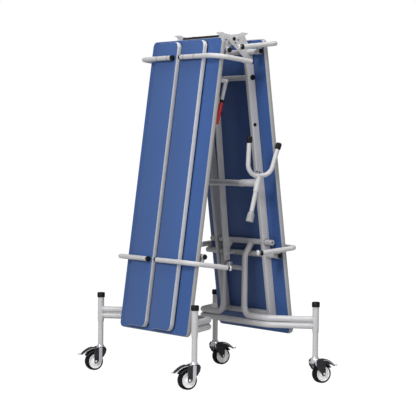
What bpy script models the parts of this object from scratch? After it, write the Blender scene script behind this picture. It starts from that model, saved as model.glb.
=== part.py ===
import math

import bmesh
import bpy
from mathutils import Matrix, Vector

# Folding table with benches, stored upright. Metres, +Z up, +X across the fold, +Y along the hinge line.
# A leaf is drawn along its own axes: x out of the table top, y across it, z from its outer end to the hinge.

# Table leaf
LEAF_LENGTH = 1.520
LEAF_WIDTH = 0.730
BOARD = 0.024
BOARD_CORNER = 0.030
LEAN = math.radians(7.0)
HINGE_HEIGHT = 1.750
HINGE_DROP = 0.130
HALF_GAP = 0.014

# Leaf frame
RAIL_WIDTH = 0.030
RAIL_DEPTH = 0.042
RAIL_INSET = 0.1135
RAIL_START = 0.086
RAIL_STOP_SHORT = 0.035
TUBE_RADIUS = 0.0145
TUBE_DEPTH = 0.022
UPPER_BAR_BACK = 0.192
END_BAR_WIDTH = 0.026
END_BAR_DEPTH = 0.022
PIVOT_UP = 0.475
STIFFENER_OVERRUN = 0.038
STIFFENER_THICK = 0.010
STIFFENER_DEPTH = 0.0345
STIFFENER_CLEAR = 0.022
STANDOFF = 0.0295
STANDOFF_HALF = 0.011
PIVOT_TUBE_INSET = 0.055
PIVOT_HOLE_RADIUS = 0.006
PIVOT_HOLE_DEPTH = 0.012

# Benches
SEAT_WIDTH = 0.226
SEAT_THICK = 0.024
SEAT_CORNER = 0.036
SEAT_LIFT = 0.006
SEAT_OUTER_SHORT = 0.018
SEAT_HINGE_SHORT = 0.0145
SEAT_CENTRE = {"wide": 0.150, "tight": 0.120}
ARM_RADIUS = 0.0125
ARM_OUTSIDE = 0.024
ARM_BEND = {"wide": 0.030, "tight": 0.075}
ARM_INNER = 0.178
ARM_OVERHANG = 0.016
ARM_OFFSET = {"right": 0.0315, "left": -0.040}
BENCH_TUBE_BACK = 0.0605
BENCH_TUBE_LOW = 0.410
BENCH_TUBE_OUTSIDE = 0.005
BENCH_PIVOT_DEPTH = 0.150
BENCH_SPREAD_SHORT = 0.160
BOSS_SHARE = 0.8
LUG_THICK = 0.006
LUG_RADIUS = 0.016
LUG_ROOT = 0.010
PIN_RADIUS = 0.005
PIN_HEAD_RADIUS = 0.009
PIN_HEAD = 0.004

# Centre hinge
PLATE = 0.005
PLATE_EYE = 0.025
PLATE_ROOT = 0.020
PLATE_ROOT_BACK = 0.090
PLATE_HEEL = 0.026
PLATE_TAB = 0.006
PLATE_TAB_REACH = 0.024
PLATE_TAB_DEPTH = 0.050
HINGE_PIN_RADIUS = 0.008

# Castor frames
LEG_OUT = 0.141
LEG_HALF = 0.511
LEG_RADIUS = 0.0166
LEG_FOOT_RADIUS = 0.0142
LEG_STEP = 0.262
LEG_TAPER = 0.008
LEG_BOTTOM = 0.135
LEG_TOP = 0.402
CAP_TOP = 0.416
CAP_SKIRT = 0.027
CAP_WALL = 0.0038
FRAME_RADIUS = 0.0160
BOW_HEIGHT = 0.292
RUN_HEIGHT = 0.3248
BOW_BEND = 0.080
BOW_CORNER = 0.335
RISER_OUT = 0.043
RISER_HALF = 0.108
RISER_BEND = 0.055
RISER_LEAN_START = 0.075
RISER_STOP_SHARE = 0.91
RISER_BAR_DROP = 0.141
RISER_BAR_RADIUS = 0.0125

# Castors
WHEEL_RADIUS = 0.048
WHEEL_WIDTH = 0.038
TYRE_DEPTH = 0.010
TYRE_SHOULDER = 0.004
RIM_LIP = 0.003
RIM_DISH = 0.006
HUB_RADIUS = 0.012
WHEEL_TRAIL = 0.039
AXLE_RADIUS = 0.005
AXLE_HEAD = 0.003
CHEEK = 0.003
CHEEK_TIP = 0.011
FORK_GAP = 0.003
HEAD_RADIUS = 0.024
HEAD_BOTTOM = 0.108
HEAD_LIP = 0.004
HEAD_WALL = 0.012
DECK = 0.007
PEDAL_WIDTH = 0.034
PEDAL_THICK = 0.005
PEDAL_PIVOT_OUT = 0.034
PEDAL_PIVOT_UP = 0.109
PEDAL_BARREL = 0.0065
PEDAL_PIN = 0.003
PEDAL_REACH = 0.104
PEDAL_DROP = 0.025
PEDAL_CROWN = ((0.0, 0.0), (0.3, 0.05), (0.6, 0.35), (1.0, 1.0))

# Support yokes and their shaft
SHAFT_UP = 0.795
SHAFT_DEPTH = 0.150
SHAFT_RADIUS = 0.0165
SHAFT_HANGER = 0.002
HANGER_ROOT = 0.010
YOKE_OUTSIDE = 0.024
YOKE_RADIUS = 0.0115
YOKE_CORNERS = ((-0.021, 0.241), (-0.056, 0.033), (0.081, 0.040), (0.150, 0.188))
YOKE_BEND = 0.060
YOKE_CROTCH = 0.041
STEM_LEAN = math.radians(20.0)
STEM_LENGTH = 0.146
STEM_FOOT = 0.052
STEM_FLARE = 0.012
STEM_FOOT_RADIUS = 0.0165
SLEEVE_RADIUS = 0.0138
SLEEVE_LENGTH = 0.042

# Lock lever
LEVER_BACK = 0.205
LEVER_LENGTH = 0.220
LEVER_SLANT = 0.023
LEVER_RADIUS = 0.010
LEVER_STAND = 0.056
LEVER_THICK = 0.012
LEVER_PIN_RADIUS = 0.004

# Fits
SEAT_GAP = 0.0003
RUN_GAP = 0.0008
COPE_GAP = 0.0008

PIVOT_DEPTH = BOARD + TUBE_DEPTH
RAIL_OUTER = LEAF_WIDTH / 2 - RAIL_INSET
RAIL_INNER = RAIL_OUTER - RAIL_WIDTH
UPPER_BAR_UP = LEAF_LENGTH - UPPER_BAR_BACK
STIFFENER_ASIDE = RISER_HALF - FRAME_RADIUS - STIFFENER_CLEAR - STIFFENER_THICK / 2
PIVOT_TUBE_HALF = LEAF_WIDTH / 2 - PIVOT_TUBE_INSET
PLATE_ROOT_UP = LEAF_LENGTH - PLATE_ROOT_BACK
LEVER_UP = LEAF_LENGTH - LEVER_BACK
ARM_LEG = LEAF_WIDTH / 2 + ARM_OUTSIDE
YOKE_PLANE = LEAF_WIDTH / 2 + YOKE_OUTSIDE
BENCH_TUBE_UP = {"upper": LEAF_LENGTH - BENCH_TUBE_BACK, "lower": BENCH_TUBE_LOW}
BENCH_TUBE_HALF = LEAF_WIDTH / 2 + BENCH_TUBE_OUTSIDE
BENCH_SPREAD = LEAF_WIDTH - BENCH_SPREAD_SHORT
BENCH_PIVOT_SIDE = {kind: (BENCH_SPREAD + centre) / 2 for kind, centre in SEAT_CENTRE.items()}
SIDES = {"right": 0.0, "left": math.pi}
ENDS = {"right": {"front": -1, "rear": 1}, "left": {"front": 1, "rear": -1}}
KINDS = {-1: "wide", 1: "tight"}

COLOURS = {
    "board_blue": ((0.075, 0.130, 0.330), 0.45, 0.0),
    "frame_grey": ((0.620, 0.620, 0.610), 0.40, 0.0),
    "cap_black": ((0.020, 0.020, 0.020), 0.55, 0.0),
    "zinc": ((0.600, 0.600, 0.600), 0.30, 1.0),
    "tyre_black": ((0.025, 0.025, 0.025), 0.70, 0.0),
    "rim_grey": ((0.700, 0.700, 0.690), 0.45, 0.0),
    "lever_red": ((0.600, 0.040, 0.030), 0.40, 0.0),
}


def clear_scene():
    for item in list(bpy.data.objects):
        bpy.data.objects.remove(item, do_unlink=True)


def material(name):
    found = bpy.data.materials.get(name)
    if found:
        return found
    colour, roughness, metallic = COLOURS[name]
    made = bpy.data.materials.new(name)
    made.use_nodes = True
    shader = made.node_tree.nodes["Principled BSDF"]
    shader.inputs["Base Color"].default_value = (*colour, 1.0)
    shader.inputs["Roughness"].default_value = roughness
    shader.inputs["Metallic"].default_value = metallic
    return made


def empty(name, matrix, parent=None):
    made = bpy.data.objects.new(name, None)
    bpy.context.scene.collection.objects.link(made)
    made.parent = parent
    made.matrix_world = matrix
    bpy.context.view_layer.update()
    return made


def finish(name, shape, parent, colour=None):
    mesh = bpy.data.meshes.new(name)
    bmesh.ops.recalc_face_normals(shape, faces=shape.faces)
    shape.to_mesh(mesh)
    shape.free()
    mesh.shade_smooth()
    mesh.set_sharp_from_angle(angle=math.radians(35))
    made = bpy.data.objects.new(name, mesh)
    bpy.context.scene.collection.objects.link(made)
    made.parent = parent
    if colour:
        mesh.materials.append(material(colour))
    else:
        made.hide_render = True
        made.display_type = "WIRE"
    return made


def combine(target, operation, others):
    for other in others:
        step = target.modifiers.new(operation.lower(), "BOOLEAN")
        step.operation = operation
        step.solver = "EXACT"
        step.object = other
    return target


def rounded_path(corners, bend, steps=5):
    # Replaces each inner corner of a polyline by an arc of the given bend radius.
    points = [Vector(corners[0])]
    for before, corner, after in zip(corners, corners[1:-1], corners[2:]):
        corner = Vector(corner)
        back = (Vector(before) - corner).normalized()
        ahead = (Vector(after) - corner).normalized()
        half = back.angle(ahead) / 2
        reach = bend / math.tan(half)
        centre = corner + (back + ahead).normalized() * (bend / math.sin(half))
        start = corner + back * reach - centre
        axis = start.cross(corner + ahead * reach - centre)
        sweep = math.pi - 2 * half
        for step in range(steps + 1):
            points.append(centre + Matrix.Rotation(sweep * step / steps, 3, axis) @ start)
    points.append(Vector(corners[-1]))
    return points


def tube(path, radius, around=12):
    # A round bar along a path, with flat ends. radius is one value or one for each point.
    shape = bmesh.new()
    radii = radius if isinstance(radius, list) else [radius] * len(path)
    points = [Vector(point) for point in path]
    ways = [(b - a).normalized() for a, b in zip(points, points[1:])]
    side = ways[0].orthogonal().normalized()
    rings = []
    for index, point in enumerate(points):
        way = ways[max(index - 1, 0)] + ways[min(index, len(ways) - 1)]
        way.normalize()
        side = (side - way * side.dot(way)).normalized()
        other = way.cross(side)
        ring = []
        for step in range(around):
            angle = 2 * math.pi * step / around
            offset = side * math.cos(angle) + other * math.sin(angle)
            ring.append(shape.verts.new(point + offset * radii[index]))
        rings.append(ring)
    for low, high in zip(rings, rings[1:]):
        for step in range(around):
            after = (step + 1) % around
            shape.faces.new((low[step], low[after], high[after], high[step]))
    shape.faces.new(rings[0])
    shape.faces.new(list(reversed(rings[-1])))
    return shape


def box(low, high):
    shape = bmesh.new()
    low, high = Vector(low), Vector(high)
    bmesh.ops.create_cube(shape, size=1.0)
    for corner in shape.verts:
        corner.co = Vector(((low[i] + high[i]) / 2 + corner.co[i] * (high[i] - low[i]) for i in range(3)))
    return shape


def prism(outline, low, high, place):
    # Extrudes a flat outline: place turns (across, along, level) into a point.
    shape = bmesh.new()
    bottom = [shape.verts.new(place(a, b, low)) for a, b in outline]
    top = [shape.verts.new(place(a, b, high)) for a, b in outline]
    shape.faces.new(bottom)
    shape.faces.new(top)
    for index in range(len(outline)):
        after = (index + 1) % len(outline)
        shape.faces.new((bottom[index], bottom[after], top[after], top[index]))
    return shape


def rounded_rectangle(half_across, low, high, corner, steps=6):
    outline = []
    for across, along, turn in ((1, low, -90), (1, high, 0), (-1, high, 90), (-1, low, 180)):
        centre_along = along + corner if along == low else along - corner
        for step in range(steps + 1):
            angle = math.radians(turn + 90 * step / steps)
            outline.append((
                across * (half_across - corner) + corner * math.cos(angle),
                centre_along + corner * math.sin(angle),
            ))
    return outline


def hull_outline(circles, steps=12):
    # The tight outline round a few circles, each (across, along, radius).
    points = []
    for across, along, radius in circles:
        for step in range(steps):
            angle = 2 * math.pi * step / steps
            points.append((across + radius * math.cos(angle), along + radius * math.sin(angle)))
    points = sorted(set((round(a, 7), round(b, 7)) for a, b in points))

    def half(ordered):
        chain = []
        for point in ordered:
            while len(chain) > 1 and turn(chain[-2], chain[-1], point) <= 0:
                chain.pop()
            chain.append(point)
        return chain[:-1]

    def turn(first, second, third):
        return (second[0] - first[0]) * (third[1] - first[1]) - (second[1] - first[1]) * (third[0] - first[0])

    return half(points) + half(points[::-1])


def turned(profile, around=16):
    # A solid of revolution about z from (radius, height) points, closed on the axis.
    shape = bmesh.new()
    ends = [shape.verts.new((0, 0, profile[0][1])), shape.verts.new((0, 0, profile[-1][1]))]
    rings = []
    for radius, height in profile:
        ring = []
        for step in range(around):
            angle = 2 * math.pi * step / around
            ring.append(shape.verts.new((radius * math.cos(angle), radius * math.sin(angle), height)))
        rings.append(ring)
    for step in range(around):
        after = (step + 1) % around
        shape.faces.new((ends[0], rings[0][after], rings[0][step]))
        shape.faces.new((ends[1], rings[-1][step], rings[-1][after]))
        for low, high in zip(rings, rings[1:]):
            shape.faces.new((low[step], low[after], high[after], high[step]))
    return shape


def ring(profile, around=24):
    # A closed profile of (radius, across) points swept round the y axis.
    shape = bmesh.new()
    rings = []
    for step in range(around):
        angle = 2 * math.pi * step / around
        way = Vector((math.cos(angle), 0, math.sin(angle)))
        rings.append([shape.verts.new(way * radius + Vector((0, across, 0))) for radius, across in profile])
    for index, low in enumerate(rings):
        high = rings[(index + 1) % around]
        for point in range(len(profile)):
            after = (point + 1) % len(profile)
            shape.faces.new((low[point], low[after], high[after], high[point]))
    return shape


class Leaf:
    # Places leaf points: out of the top, across it and up it, seen from the leaf's joint.

    def __init__(self, side, joint_out, joint_up):
        self.side = side
        self.joint = Vector((joint_out, 0, joint_up))
        turn = Matrix.Rotation(SIDES[side], 4, "Z") @ Matrix.Rotation(-LEAN, 4, "Y")
        hinge = Vector((-HINGE_DROP, 0, LEAF_LENGTH + HALF_GAP))
        self.world = Matrix.Translation((0, 0, HINGE_HEIGHT)) @ turn @ Matrix.Translation(-hinge)
        self.origin = empty(f"leaf_{side}", self.world @ Matrix.Translation(self.joint))

    def at(self, out, across, up):
        return Vector((out, across, up)) - self.joint

    def point(self, out, across, up):
        return self.world @ Vector((out, across, up))

    def box(self, low, high):
        return box(self.at(*low), self.at(*high))

    def bar(self, out, up, from_across, to_across, radius):
        return tube([self.at(out, from_across, up), self.at(out, to_across, up)], radius)

    def pin(self, out, across, from_up, to_up, radius):
        return tube([self.at(out, across, from_up), self.at(out, across, to_up)], radius, 8)

    def side_plate(self, outline, low, high):
        return prism(outline, low, high, lambda out, up, across: self.at(out, across, up))

    def flat_plate(self, outline, low, high):
        return prism(outline, low, high, lambda out, across, up: self.at(out, across, up))

    def board(self, name, outline, low, high):
        shape = prism(outline, low, high, lambda across, up, out: self.at(out, across, up))
        return finish(name, shape, self.origin, "board_blue")


def build_top(leaf):
    outline = rounded_rectangle(LEAF_WIDTH / 2, 0, LEAF_LENGTH, BOARD_CORNER)
    leaf.board(f"top_{leaf.side}", outline, -BOARD, 0)


def hinge_plate(leaf, near, far):
    eye = (-HINGE_DROP, LEAF_LENGTH + HALF_GAP, PLATE_EYE)
    face = -BOARD - SEAT_GAP
    root = (face - PLATE_ROOT, PLATE_ROOT_UP, PLATE_ROOT)
    heel = (face - PLATE_HEEL, LEAF_LENGTH - RAIL_STOP_SHORT - PLATE_HEEL, PLATE_HEEL)
    tab = (-PLATE_TAB_DEPTH, LEAF_LENGTH + PLATE_TAB_REACH, PLATE_TAB)
    arm = leaf.side_plate(hull_outline([eye, root, heel]), near, far)
    ear = leaf.side_plate(hull_outline([eye, tab]), near, far)
    return [finish(f"{leaf.side}_plate_cutter", shape, leaf.origin) for shape in (arm, ear)]


def build_rail(leaf, end):
    sign = ENDS[leaf.side][end]
    rail = leaf.box(
        (-BOARD - RAIL_DEPTH, min(sign * RAIL_INNER, sign * RAIL_OUTER), RAIL_START),
        (-BOARD - SEAT_GAP, max(sign * RAIL_INNER, sign * RAIL_OUTER), LEAF_LENGTH - RAIL_STOP_SHORT),
    )
    rail = finish(f"rail_{end}_{leaf.side}", rail, leaf.origin, "frame_grey")
    outside = leaf.side == "right"
    face = RAIL_OUTER if outside else RAIL_INNER
    near = sign * (face - PLATE if outside else face + PLATE)
    far = sign * (face + PLATE if outside else face - PLATE)
    plates = hinge_plate(leaf, min(near, far), max(near, far))
    combine(rail, "UNION", plates)
    eye = (-HINGE_DROP, LEAF_LENGTH + HALF_GAP)
    if outside:
        pin_hole = leaf.bar(*eye, -LEAF_WIDTH, LEAF_WIDTH, HINGE_PIN_RADIUS + RUN_GAP)
        combine(rail, "DIFFERENCE", [finish("hinge_pin_cutter", pin_hole, leaf.origin)])
    else:
        pin_end = sign * (RAIL_OUTER + 2 * PLATE)
        pin = leaf.bar(*eye, sign * (RAIL_INNER - PLATE / 2), pin_end, HINGE_PIN_RADIUS)
        half_tube = leaf.bar(*eye, sign * SEAT_GAP, sign * (RAIL_INNER - PLATE / 2), TUBE_RADIUS)
        shapes = [finish("hinge_pin_shape", shape, leaf.origin) for shape in (pin, half_tube)]
        combine(rail, "UNION", shapes)
    holes = [(up, TUBE_RADIUS + SEAT_GAP) for up in BENCH_TUBE_UP.values()]
    holes.append((PIVOT_UP, TUBE_RADIUS + RUN_GAP))
    for up, radius in holes:
        hole = leaf.bar(-PIVOT_DEPTH, up, -LEAF_WIDTH, LEAF_WIDTH, radius)
        combine(rail, "DIFFERENCE", [finish("rail_hole_cutter", hole, leaf.origin)])


def build_cross_bars(leaf):
    reach = RAIL_INNER - SEAT_GAP
    upper = leaf.bar(-PIVOT_DEPTH, UPPER_BAR_UP, -reach, reach, TUBE_RADIUS)
    finish(f"upper_bar_{leaf.side}", upper, leaf.origin, "frame_grey")
    end_bar = leaf.box(
        (-BOARD - END_BAR_DEPTH, -reach, RAIL_START),
        (-BOARD - SEAT_GAP, reach, RAIL_START + END_BAR_WIDTH),
    )
    finish(f"end_bar_{leaf.side}", end_bar, leaf.origin, "frame_grey")
    # A flat bar on edge from the upper bar down to a standoff on the lower bench tube.
    face = -PIVOT_DEPTH - TUBE_RADIUS - SEAT_GAP
    slope = STANDOFF / (UPPER_BAR_UP - BENCH_TUBE_LOW)
    low = BENCH_TUBE_LOW - STIFFENER_OVERRUN
    high = UPPER_BAR_UP + TUBE_RADIUS
    back = [(face - slope * (UPPER_BAR_UP - up), up) for up in (low, high)]
    outline = back + [(out - STIFFENER_DEPTH, up) for out, up in reversed(back)]
    half = STIFFENER_THICK / 2
    flat = leaf.side_plate(outline, STIFFENER_ASIDE - half, STIFFENER_ASIDE + half)
    stiffener = finish(f"stiffener_{leaf.side}", flat, leaf.origin, "frame_grey")
    standoff = leaf.box(
        (face - STANDOFF - STIFFENER_DEPTH / 2, STIFFENER_ASIDE - STANDOFF_HALF,
         BENCH_TUBE_LOW - STANDOFF_HALF),
        (face, STIFFENER_ASIDE + STANDOFF_HALF, BENCH_TUBE_LOW + STANDOFF_HALF),
    )
    combine(stiffener, "UNION", [finish("standoff_shape", standoff, leaf.origin)])


def build_bench_tube(leaf, level):
    up = BENCH_TUBE_UP[level]
    bar = leaf.bar(-PIVOT_DEPTH, up, -BENCH_TUBE_HALF, BENCH_TUBE_HALF, TUBE_RADIUS)
    bar = finish(f"bench_tube_{level}_{leaf.side}", bar, leaf.origin, "frame_grey")
    for sign, kind in KINDS.items():
        step = math.copysign(1, ARM_OFFSET[leaf.side])
        lug_face = abs(ARM_OFFSET[leaf.side]) - LUG_THICK / 2
        bracket = sorted((up + step * (lug_face - SEAT_GAP), up + step * (lug_face - SEAT_GAP - LUG_THICK)))
        across = sign * BENCH_PIVOT_SIDE[kind]
        outline = hull_outline([
            (-PIVOT_DEPTH, across, LUG_RADIUS),
            (-BENCH_PIVOT_DEPTH, across, LUG_RADIUS),
        ])
        plate = leaf.flat_plate(outline, *bracket)
        boss = leaf.pin(-PIVOT_DEPTH, across, up, sum(bracket) / 2, TUBE_RADIUS * BOSS_SHARE)
        tip = up + step * (abs(ARM_OFFSET[leaf.side]) + LUG_THICK / 2 + SEAT_GAP)
        pin = leaf.pin(-BENCH_PIVOT_DEPTH, across, sum(bracket) / 2, tip + step * PIN_HEAD / 2, PIN_RADIUS)
        head = leaf.pin(-BENCH_PIVOT_DEPTH, across, tip, tip + step * PIN_HEAD, PIN_HEAD_RADIUS)
        shapes = [finish("bench_bracket_shape", shape, leaf.origin) for shape in (plate, boss, pin, head)]
        combine(bar, "UNION", shapes)


def build_bench(leaf, end):
    sign = ENDS[leaf.side][end]
    kind = KINDS[sign]
    name = f"{end}_{leaf.side}"
    pivot = (-BENCH_PIVOT_DEPTH, sign * BENCH_PIVOT_SIDE[kind], 0)
    origin = empty(f"bench_{name}", leaf.world @ Matrix.Translation(pivot), leaf.origin)
    held = BenchLeaf(leaf, origin, pivot)
    centre = sign * SEAT_CENTRE[kind]
    outline = rounded_rectangle(
        SEAT_WIDTH / 2, SEAT_OUTER_SHORT, LEAF_LENGTH - SEAT_HINGE_SHORT, SEAT_CORNER
    )
    outline = [(across + centre, up) for across, up in outline]
    held.board(f"seat_{name}", outline, SEAT_LIFT, SEAT_LIFT + SEAT_THICK)
    arm_out = SEAT_LIFT + SEAT_THICK + ARM_RADIUS + SEAT_GAP
    for level, tube_up in BENCH_TUBE_UP.items():
        up = tube_up + ARM_OFFSET[leaf.side]
        corners = [
            (arm_out, centre - sign * (SEAT_WIDTH / 2 - ARM_OVERHANG), up),
            (arm_out, sign * ARM_LEG, up),
            (-ARM_INNER, sign * ARM_LEG, up),
        ]
        path = rounded_path([held.at(*corner) for corner in corners], ARM_BEND[kind])
        arm = finish(f"arm_{level}_{name}", tube(path, ARM_RADIUS), origin, "frame_grey")
        lug = held.flat_plate(
            hull_outline([
                (pivot[0], pivot[1], LUG_RADIUS),
                (pivot[0], sign * ARM_LEG, LUG_ROOT),
            ]),
            up - LUG_THICK / 2,
            up + LUG_THICK / 2,
        )
        combine(arm, "UNION", [finish("arm_lug_shape", lug, origin)])
        reach = LUG_THICK + ARM_RADIUS
        hole = held.pin(pivot[0], pivot[1], up - reach, up + reach, PIN_RADIUS + RUN_GAP)
        combine(arm, "DIFFERENCE", [finish("arm_pin_cutter", hole, origin)])


class BenchLeaf(Leaf):
    # The same leaf axes, seen from a bench's pivot.

    def __init__(self, leaf, origin, pivot):
        self.side = leaf.side
        self.world = leaf.world
        self.joint = Vector(pivot)
        self.origin = origin


def build_yokes(leaf):
    # A cross shaft with a U-shaped yoke and a foot at each end, welded into one piece.
    pivot = (-SHAFT_DEPTH, 0, SHAFT_UP)
    origin = empty("yoke_axis", leaf.world @ Matrix.Translation(pivot), leaf.origin)
    shaft = tube([(0, -YOKE_PLANE, 0), (0, YOKE_PLANE, 0)], SHAFT_RADIUS)
    shaft = finish("yoke_shaft", shaft, origin, "frame_grey")
    stem_way = Vector((math.sin(STEM_LEAN), 0, math.cos(STEM_LEAN)))
    for sign in ENDS[leaf.side].values():
        middle = Vector((0, sign * YOKE_PLANE, 0))
        prongs = rounded_path([middle + Vector((out, 0, up)) for out, up in YOKE_CORNERS], YOKE_BEND)
        levels = [YOKE_CROTCH, -STEM_LENGTH, -STEM_LENGTH - STEM_FLARE, -STEM_LENGTH - STEM_FOOT]
        radii = [YOKE_RADIUS, YOKE_RADIUS, STEM_FOOT_RADIUS, STEM_FOOT_RADIUS]
        stem = tube([middle + stem_way * level for level in levels], radii)
        sleeve = tube([middle + stem_way * level for level in (YOKE_CROTCH, -SLEEVE_LENGTH)], SLEEVE_RADIUS)
        shapes = [tube(prongs, YOKE_RADIUS), stem, sleeve]
        combine(shaft, "UNION", [finish("yoke_shape", shape, origin) for shape in shapes])


def build_shaft_hangers(leaf):
    # A plate under each rail that carries the yoke shaft.
    for end, sign in ENDS[leaf.side].items():
        rail = bpy.data.objects[f"rail_{end}_{leaf.side}"]
        outline = hull_outline([
            (-SHAFT_DEPTH, SHAFT_UP, SHAFT_RADIUS + SHAFT_HANGER),
            (-BOARD - RAIL_DEPTH / 2, SHAFT_UP, HANGER_ROOT),
        ])
        middle = sign * (RAIL_INNER + RAIL_OUTER) / 2
        hanger = leaf.side_plate(outline, middle - PLATE, middle + PLATE)
        combine(rail, "UNION", [finish("hanger_shape", hanger, leaf.origin)])
        bore = leaf.bar(-SHAFT_DEPTH, SHAFT_UP, -LEAF_WIDTH, LEAF_WIDTH, SHAFT_RADIUS + RUN_GAP)
        combine(rail, "DIFFERENCE", [finish("shaft_bore_cutter", bore, leaf.origin)])


def build_lever(leaf):
    # The release lever hangs from two ears on the left leaf's front rail.
    across = ENDS[leaf.side]["front"] * (RAIL_INNER + RAIL_OUTER) / 2
    out = -BOARD - RAIL_DEPTH - LEVER_STAND
    rail = bpy.data.objects[f"rail_front_{leaf.side}"]
    ear = hull_outline([
        (out, LEVER_UP, LEVER_RADIUS),
        (-BOARD - RAIL_DEPTH / 2, LEVER_UP, LEVER_RADIUS),
    ])
    half = LEVER_THICK / 2 + SEAT_GAP
    for low, high in ((-half - PLATE, -half), (half, half + PLATE)):
        plate = leaf.side_plate(ear, across + low, across + high)
        combine(rail, "UNION", [finish("lever_ear_shape", plate, leaf.origin)])
    pin = leaf.bar(out, LEVER_UP, across - half - PLATE / 2, across + half + PLATE / 2, LEVER_PIN_RADIUS)
    combine(rail, "UNION", [finish("lever_pin_shape", pin, leaf.origin)])
    pivot = (out, across, LEVER_UP)
    origin = empty("lever_axis", leaf.world @ Matrix.Translation(pivot), leaf.origin)
    outline = hull_outline([
        (0, 0, LEVER_RADIUS),
        (LEVER_SLANT, -LEVER_LENGTH, LEVER_RADIUS),
    ])
    shape = prism(outline, -LEVER_THICK / 2, LEVER_THICK / 2, lambda o, u, a: Vector((o, a, u)))
    lever = finish("lock_lever", shape, origin, "lever_red")
    bore = tube([(0, -LEVER_THICK, 0), (0, LEVER_THICK, 0)], LEVER_PIN_RADIUS + RUN_GAP)
    combine(lever, "DIFFERENCE", [finish("lever_bore_cutter", bore, origin)])


def build_frame(leaf):
    # The castor frame stands upright below its leaf's pivot: x outwards, y along the hinge, z up.
    side = leaf.side
    pivot = leaf.point(-PIVOT_DEPTH, 0, PIVOT_UP)
    upright = Matrix.Translation(pivot) @ Matrix.Rotation(SIDES[side], 4, "Z")
    origin = empty(f"castor_frame_{side}", upright)

    def at(out, across, height):
        return Vector((out, across, height - pivot.z))

    def post(across, low, high, radius, out=LEG_OUT):
        return tube([at(out, across, low), at(out, across, high)], radius)

    pivot_tube = finish(
        f"pivot_tube_{side}",
        tube([at(0, -PIVOT_TUBE_HALF, pivot.z), at(0, PIVOT_TUBE_HALF, pivot.z)], TUBE_RADIUS),
        origin,
        "frame_grey",
    )
    for sign in ENDS[side].values():
        reach = [sign * (PIVOT_TUBE_HALF + depth) for depth in (-PIVOT_HOLE_DEPTH, PIVOT_HOLE_DEPTH)]
        blind = tube([at(0, across, pivot.z) for across in reach], PIVOT_HOLE_RADIUS)
        combine(pivot_tube, "DIFFERENCE", [finish("pivot_end_cutter", blind, origin)])

    bow = rounded_path(
        [at(LEG_OUT, -LEG_HALF, BOW_HEIGHT), at(-RISER_OUT, -BOW_CORNER, BOW_HEIGHT),
         at(-RISER_OUT, BOW_CORNER, BOW_HEIGHT), at(LEG_OUT, LEG_HALF, BOW_HEIGHT)],
        BOW_BEND,
    )
    base = finish(f"base_{side}", tube(bow, FRAME_RADIUS), origin, "frame_grey")
    levels = [LEG_BOTTOM, LEG_STEP - LEG_TAPER, LEG_STEP, LEG_TOP]
    radii = [LEG_FOOT_RADIUS, LEG_FOOT_RADIUS, LEG_RADIUS, LEG_RADIUS]
    for end, sign in ENDS[side].items():
        leg = tube([at(LEG_OUT, sign * LEG_HALF, level) for level in levels], radii)
        combine(base, "UNION", [finish("leg_shape", leg, origin)])
        cap_radius = LEG_RADIUS + CAP_WALL
        cap = finish(
            f"leg_cap_{end}_{side}",
            post(sign * LEG_HALF, CAP_TOP - CAP_SKIRT, CAP_TOP, cap_radius),
            origin,
            "cap_black",
        )
        socket = post(sign * LEG_HALF, CAP_TOP - 2 * CAP_SKIRT, LEG_TOP + SEAT_GAP, LEG_RADIUS + SEAT_GAP)
        combine(cap, "DIFFERENCE", [finish("cap_socket_cutter", socket, origin)])

        run = rounded_path(
            [at(LEG_OUT, sign * LEG_HALF, RUN_HEIGHT), at(-RISER_OUT, sign * BOW_CORNER, RUN_HEIGHT),
             at(-RISER_OUT, sign * RISER_HALF, RUN_HEIGHT)],
            BOW_BEND,
        )
        lean_foot = at(-RISER_OUT, sign * RISER_HALF, pivot.z - RISER_LEAN_START)
        lean_top = lean_foot.lerp(at(0, sign * RISER_HALF, pivot.z), RISER_STOP_SHARE)
        rise = rounded_path(
            [run[-2], at(-RISER_OUT, sign * RISER_HALF, RUN_HEIGHT), lean_foot, lean_top],
            RISER_BEND,
        )
        shape = tube(run[:-1] + rise[1:], FRAME_RADIUS)
        upright_tube = finish(f"upright_{end}_{side}", shape, origin, "frame_grey")
        cope = tube([at(0, -LEG_HALF, pivot.z), at(0, LEG_HALF, pivot.z)], TUBE_RADIUS + COPE_GAP)
        leg_cope = post(sign * LEG_HALF, BOW_HEIGHT, LEG_TOP, LEG_RADIUS + COPE_GAP)
        shapes = [finish("upright_cope_cutter", shape, origin) for shape in (cope, leg_cope)]
        combine(upright_tube, "DIFFERENCE", shapes)

    bar_height = pivot.z - RISER_BAR_DROP
    bar = tube([at(-RISER_OUT, across, bar_height) for across in (-RISER_HALF, RISER_HALF)], RISER_BAR_RADIUS)
    bar = finish(f"riser_bar_{side}", bar, origin, "frame_grey")
    for sign in ENDS[side].values():
        cope = post(sign * RISER_HALF, RUN_HEIGHT, pivot.z, FRAME_RADIUS + COPE_GAP, -RISER_OUT)
        combine(bar, "DIFFERENCE", [finish("bar_cope_cutter", cope, origin)])

    for end, sign in ENDS[side].items():
        leg_axis = Matrix.Translation(upright @ at(LEG_OUT, sign * LEG_HALF, 0))
        build_castor(f"{end}_{side}", leg_axis @ Matrix.Rotation(SIDES[side], 4, "Z"), origin)


def build_castor(name, stand, parent):
    # x points along the trail, away from the leg; z is the swivel axis.
    swivel = empty(f"castor_{name}", stand, parent)
    build_fork(name, swivel)
    build_wheel(name, stand, swivel)
    build_pedal(name, stand, swivel)


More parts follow.
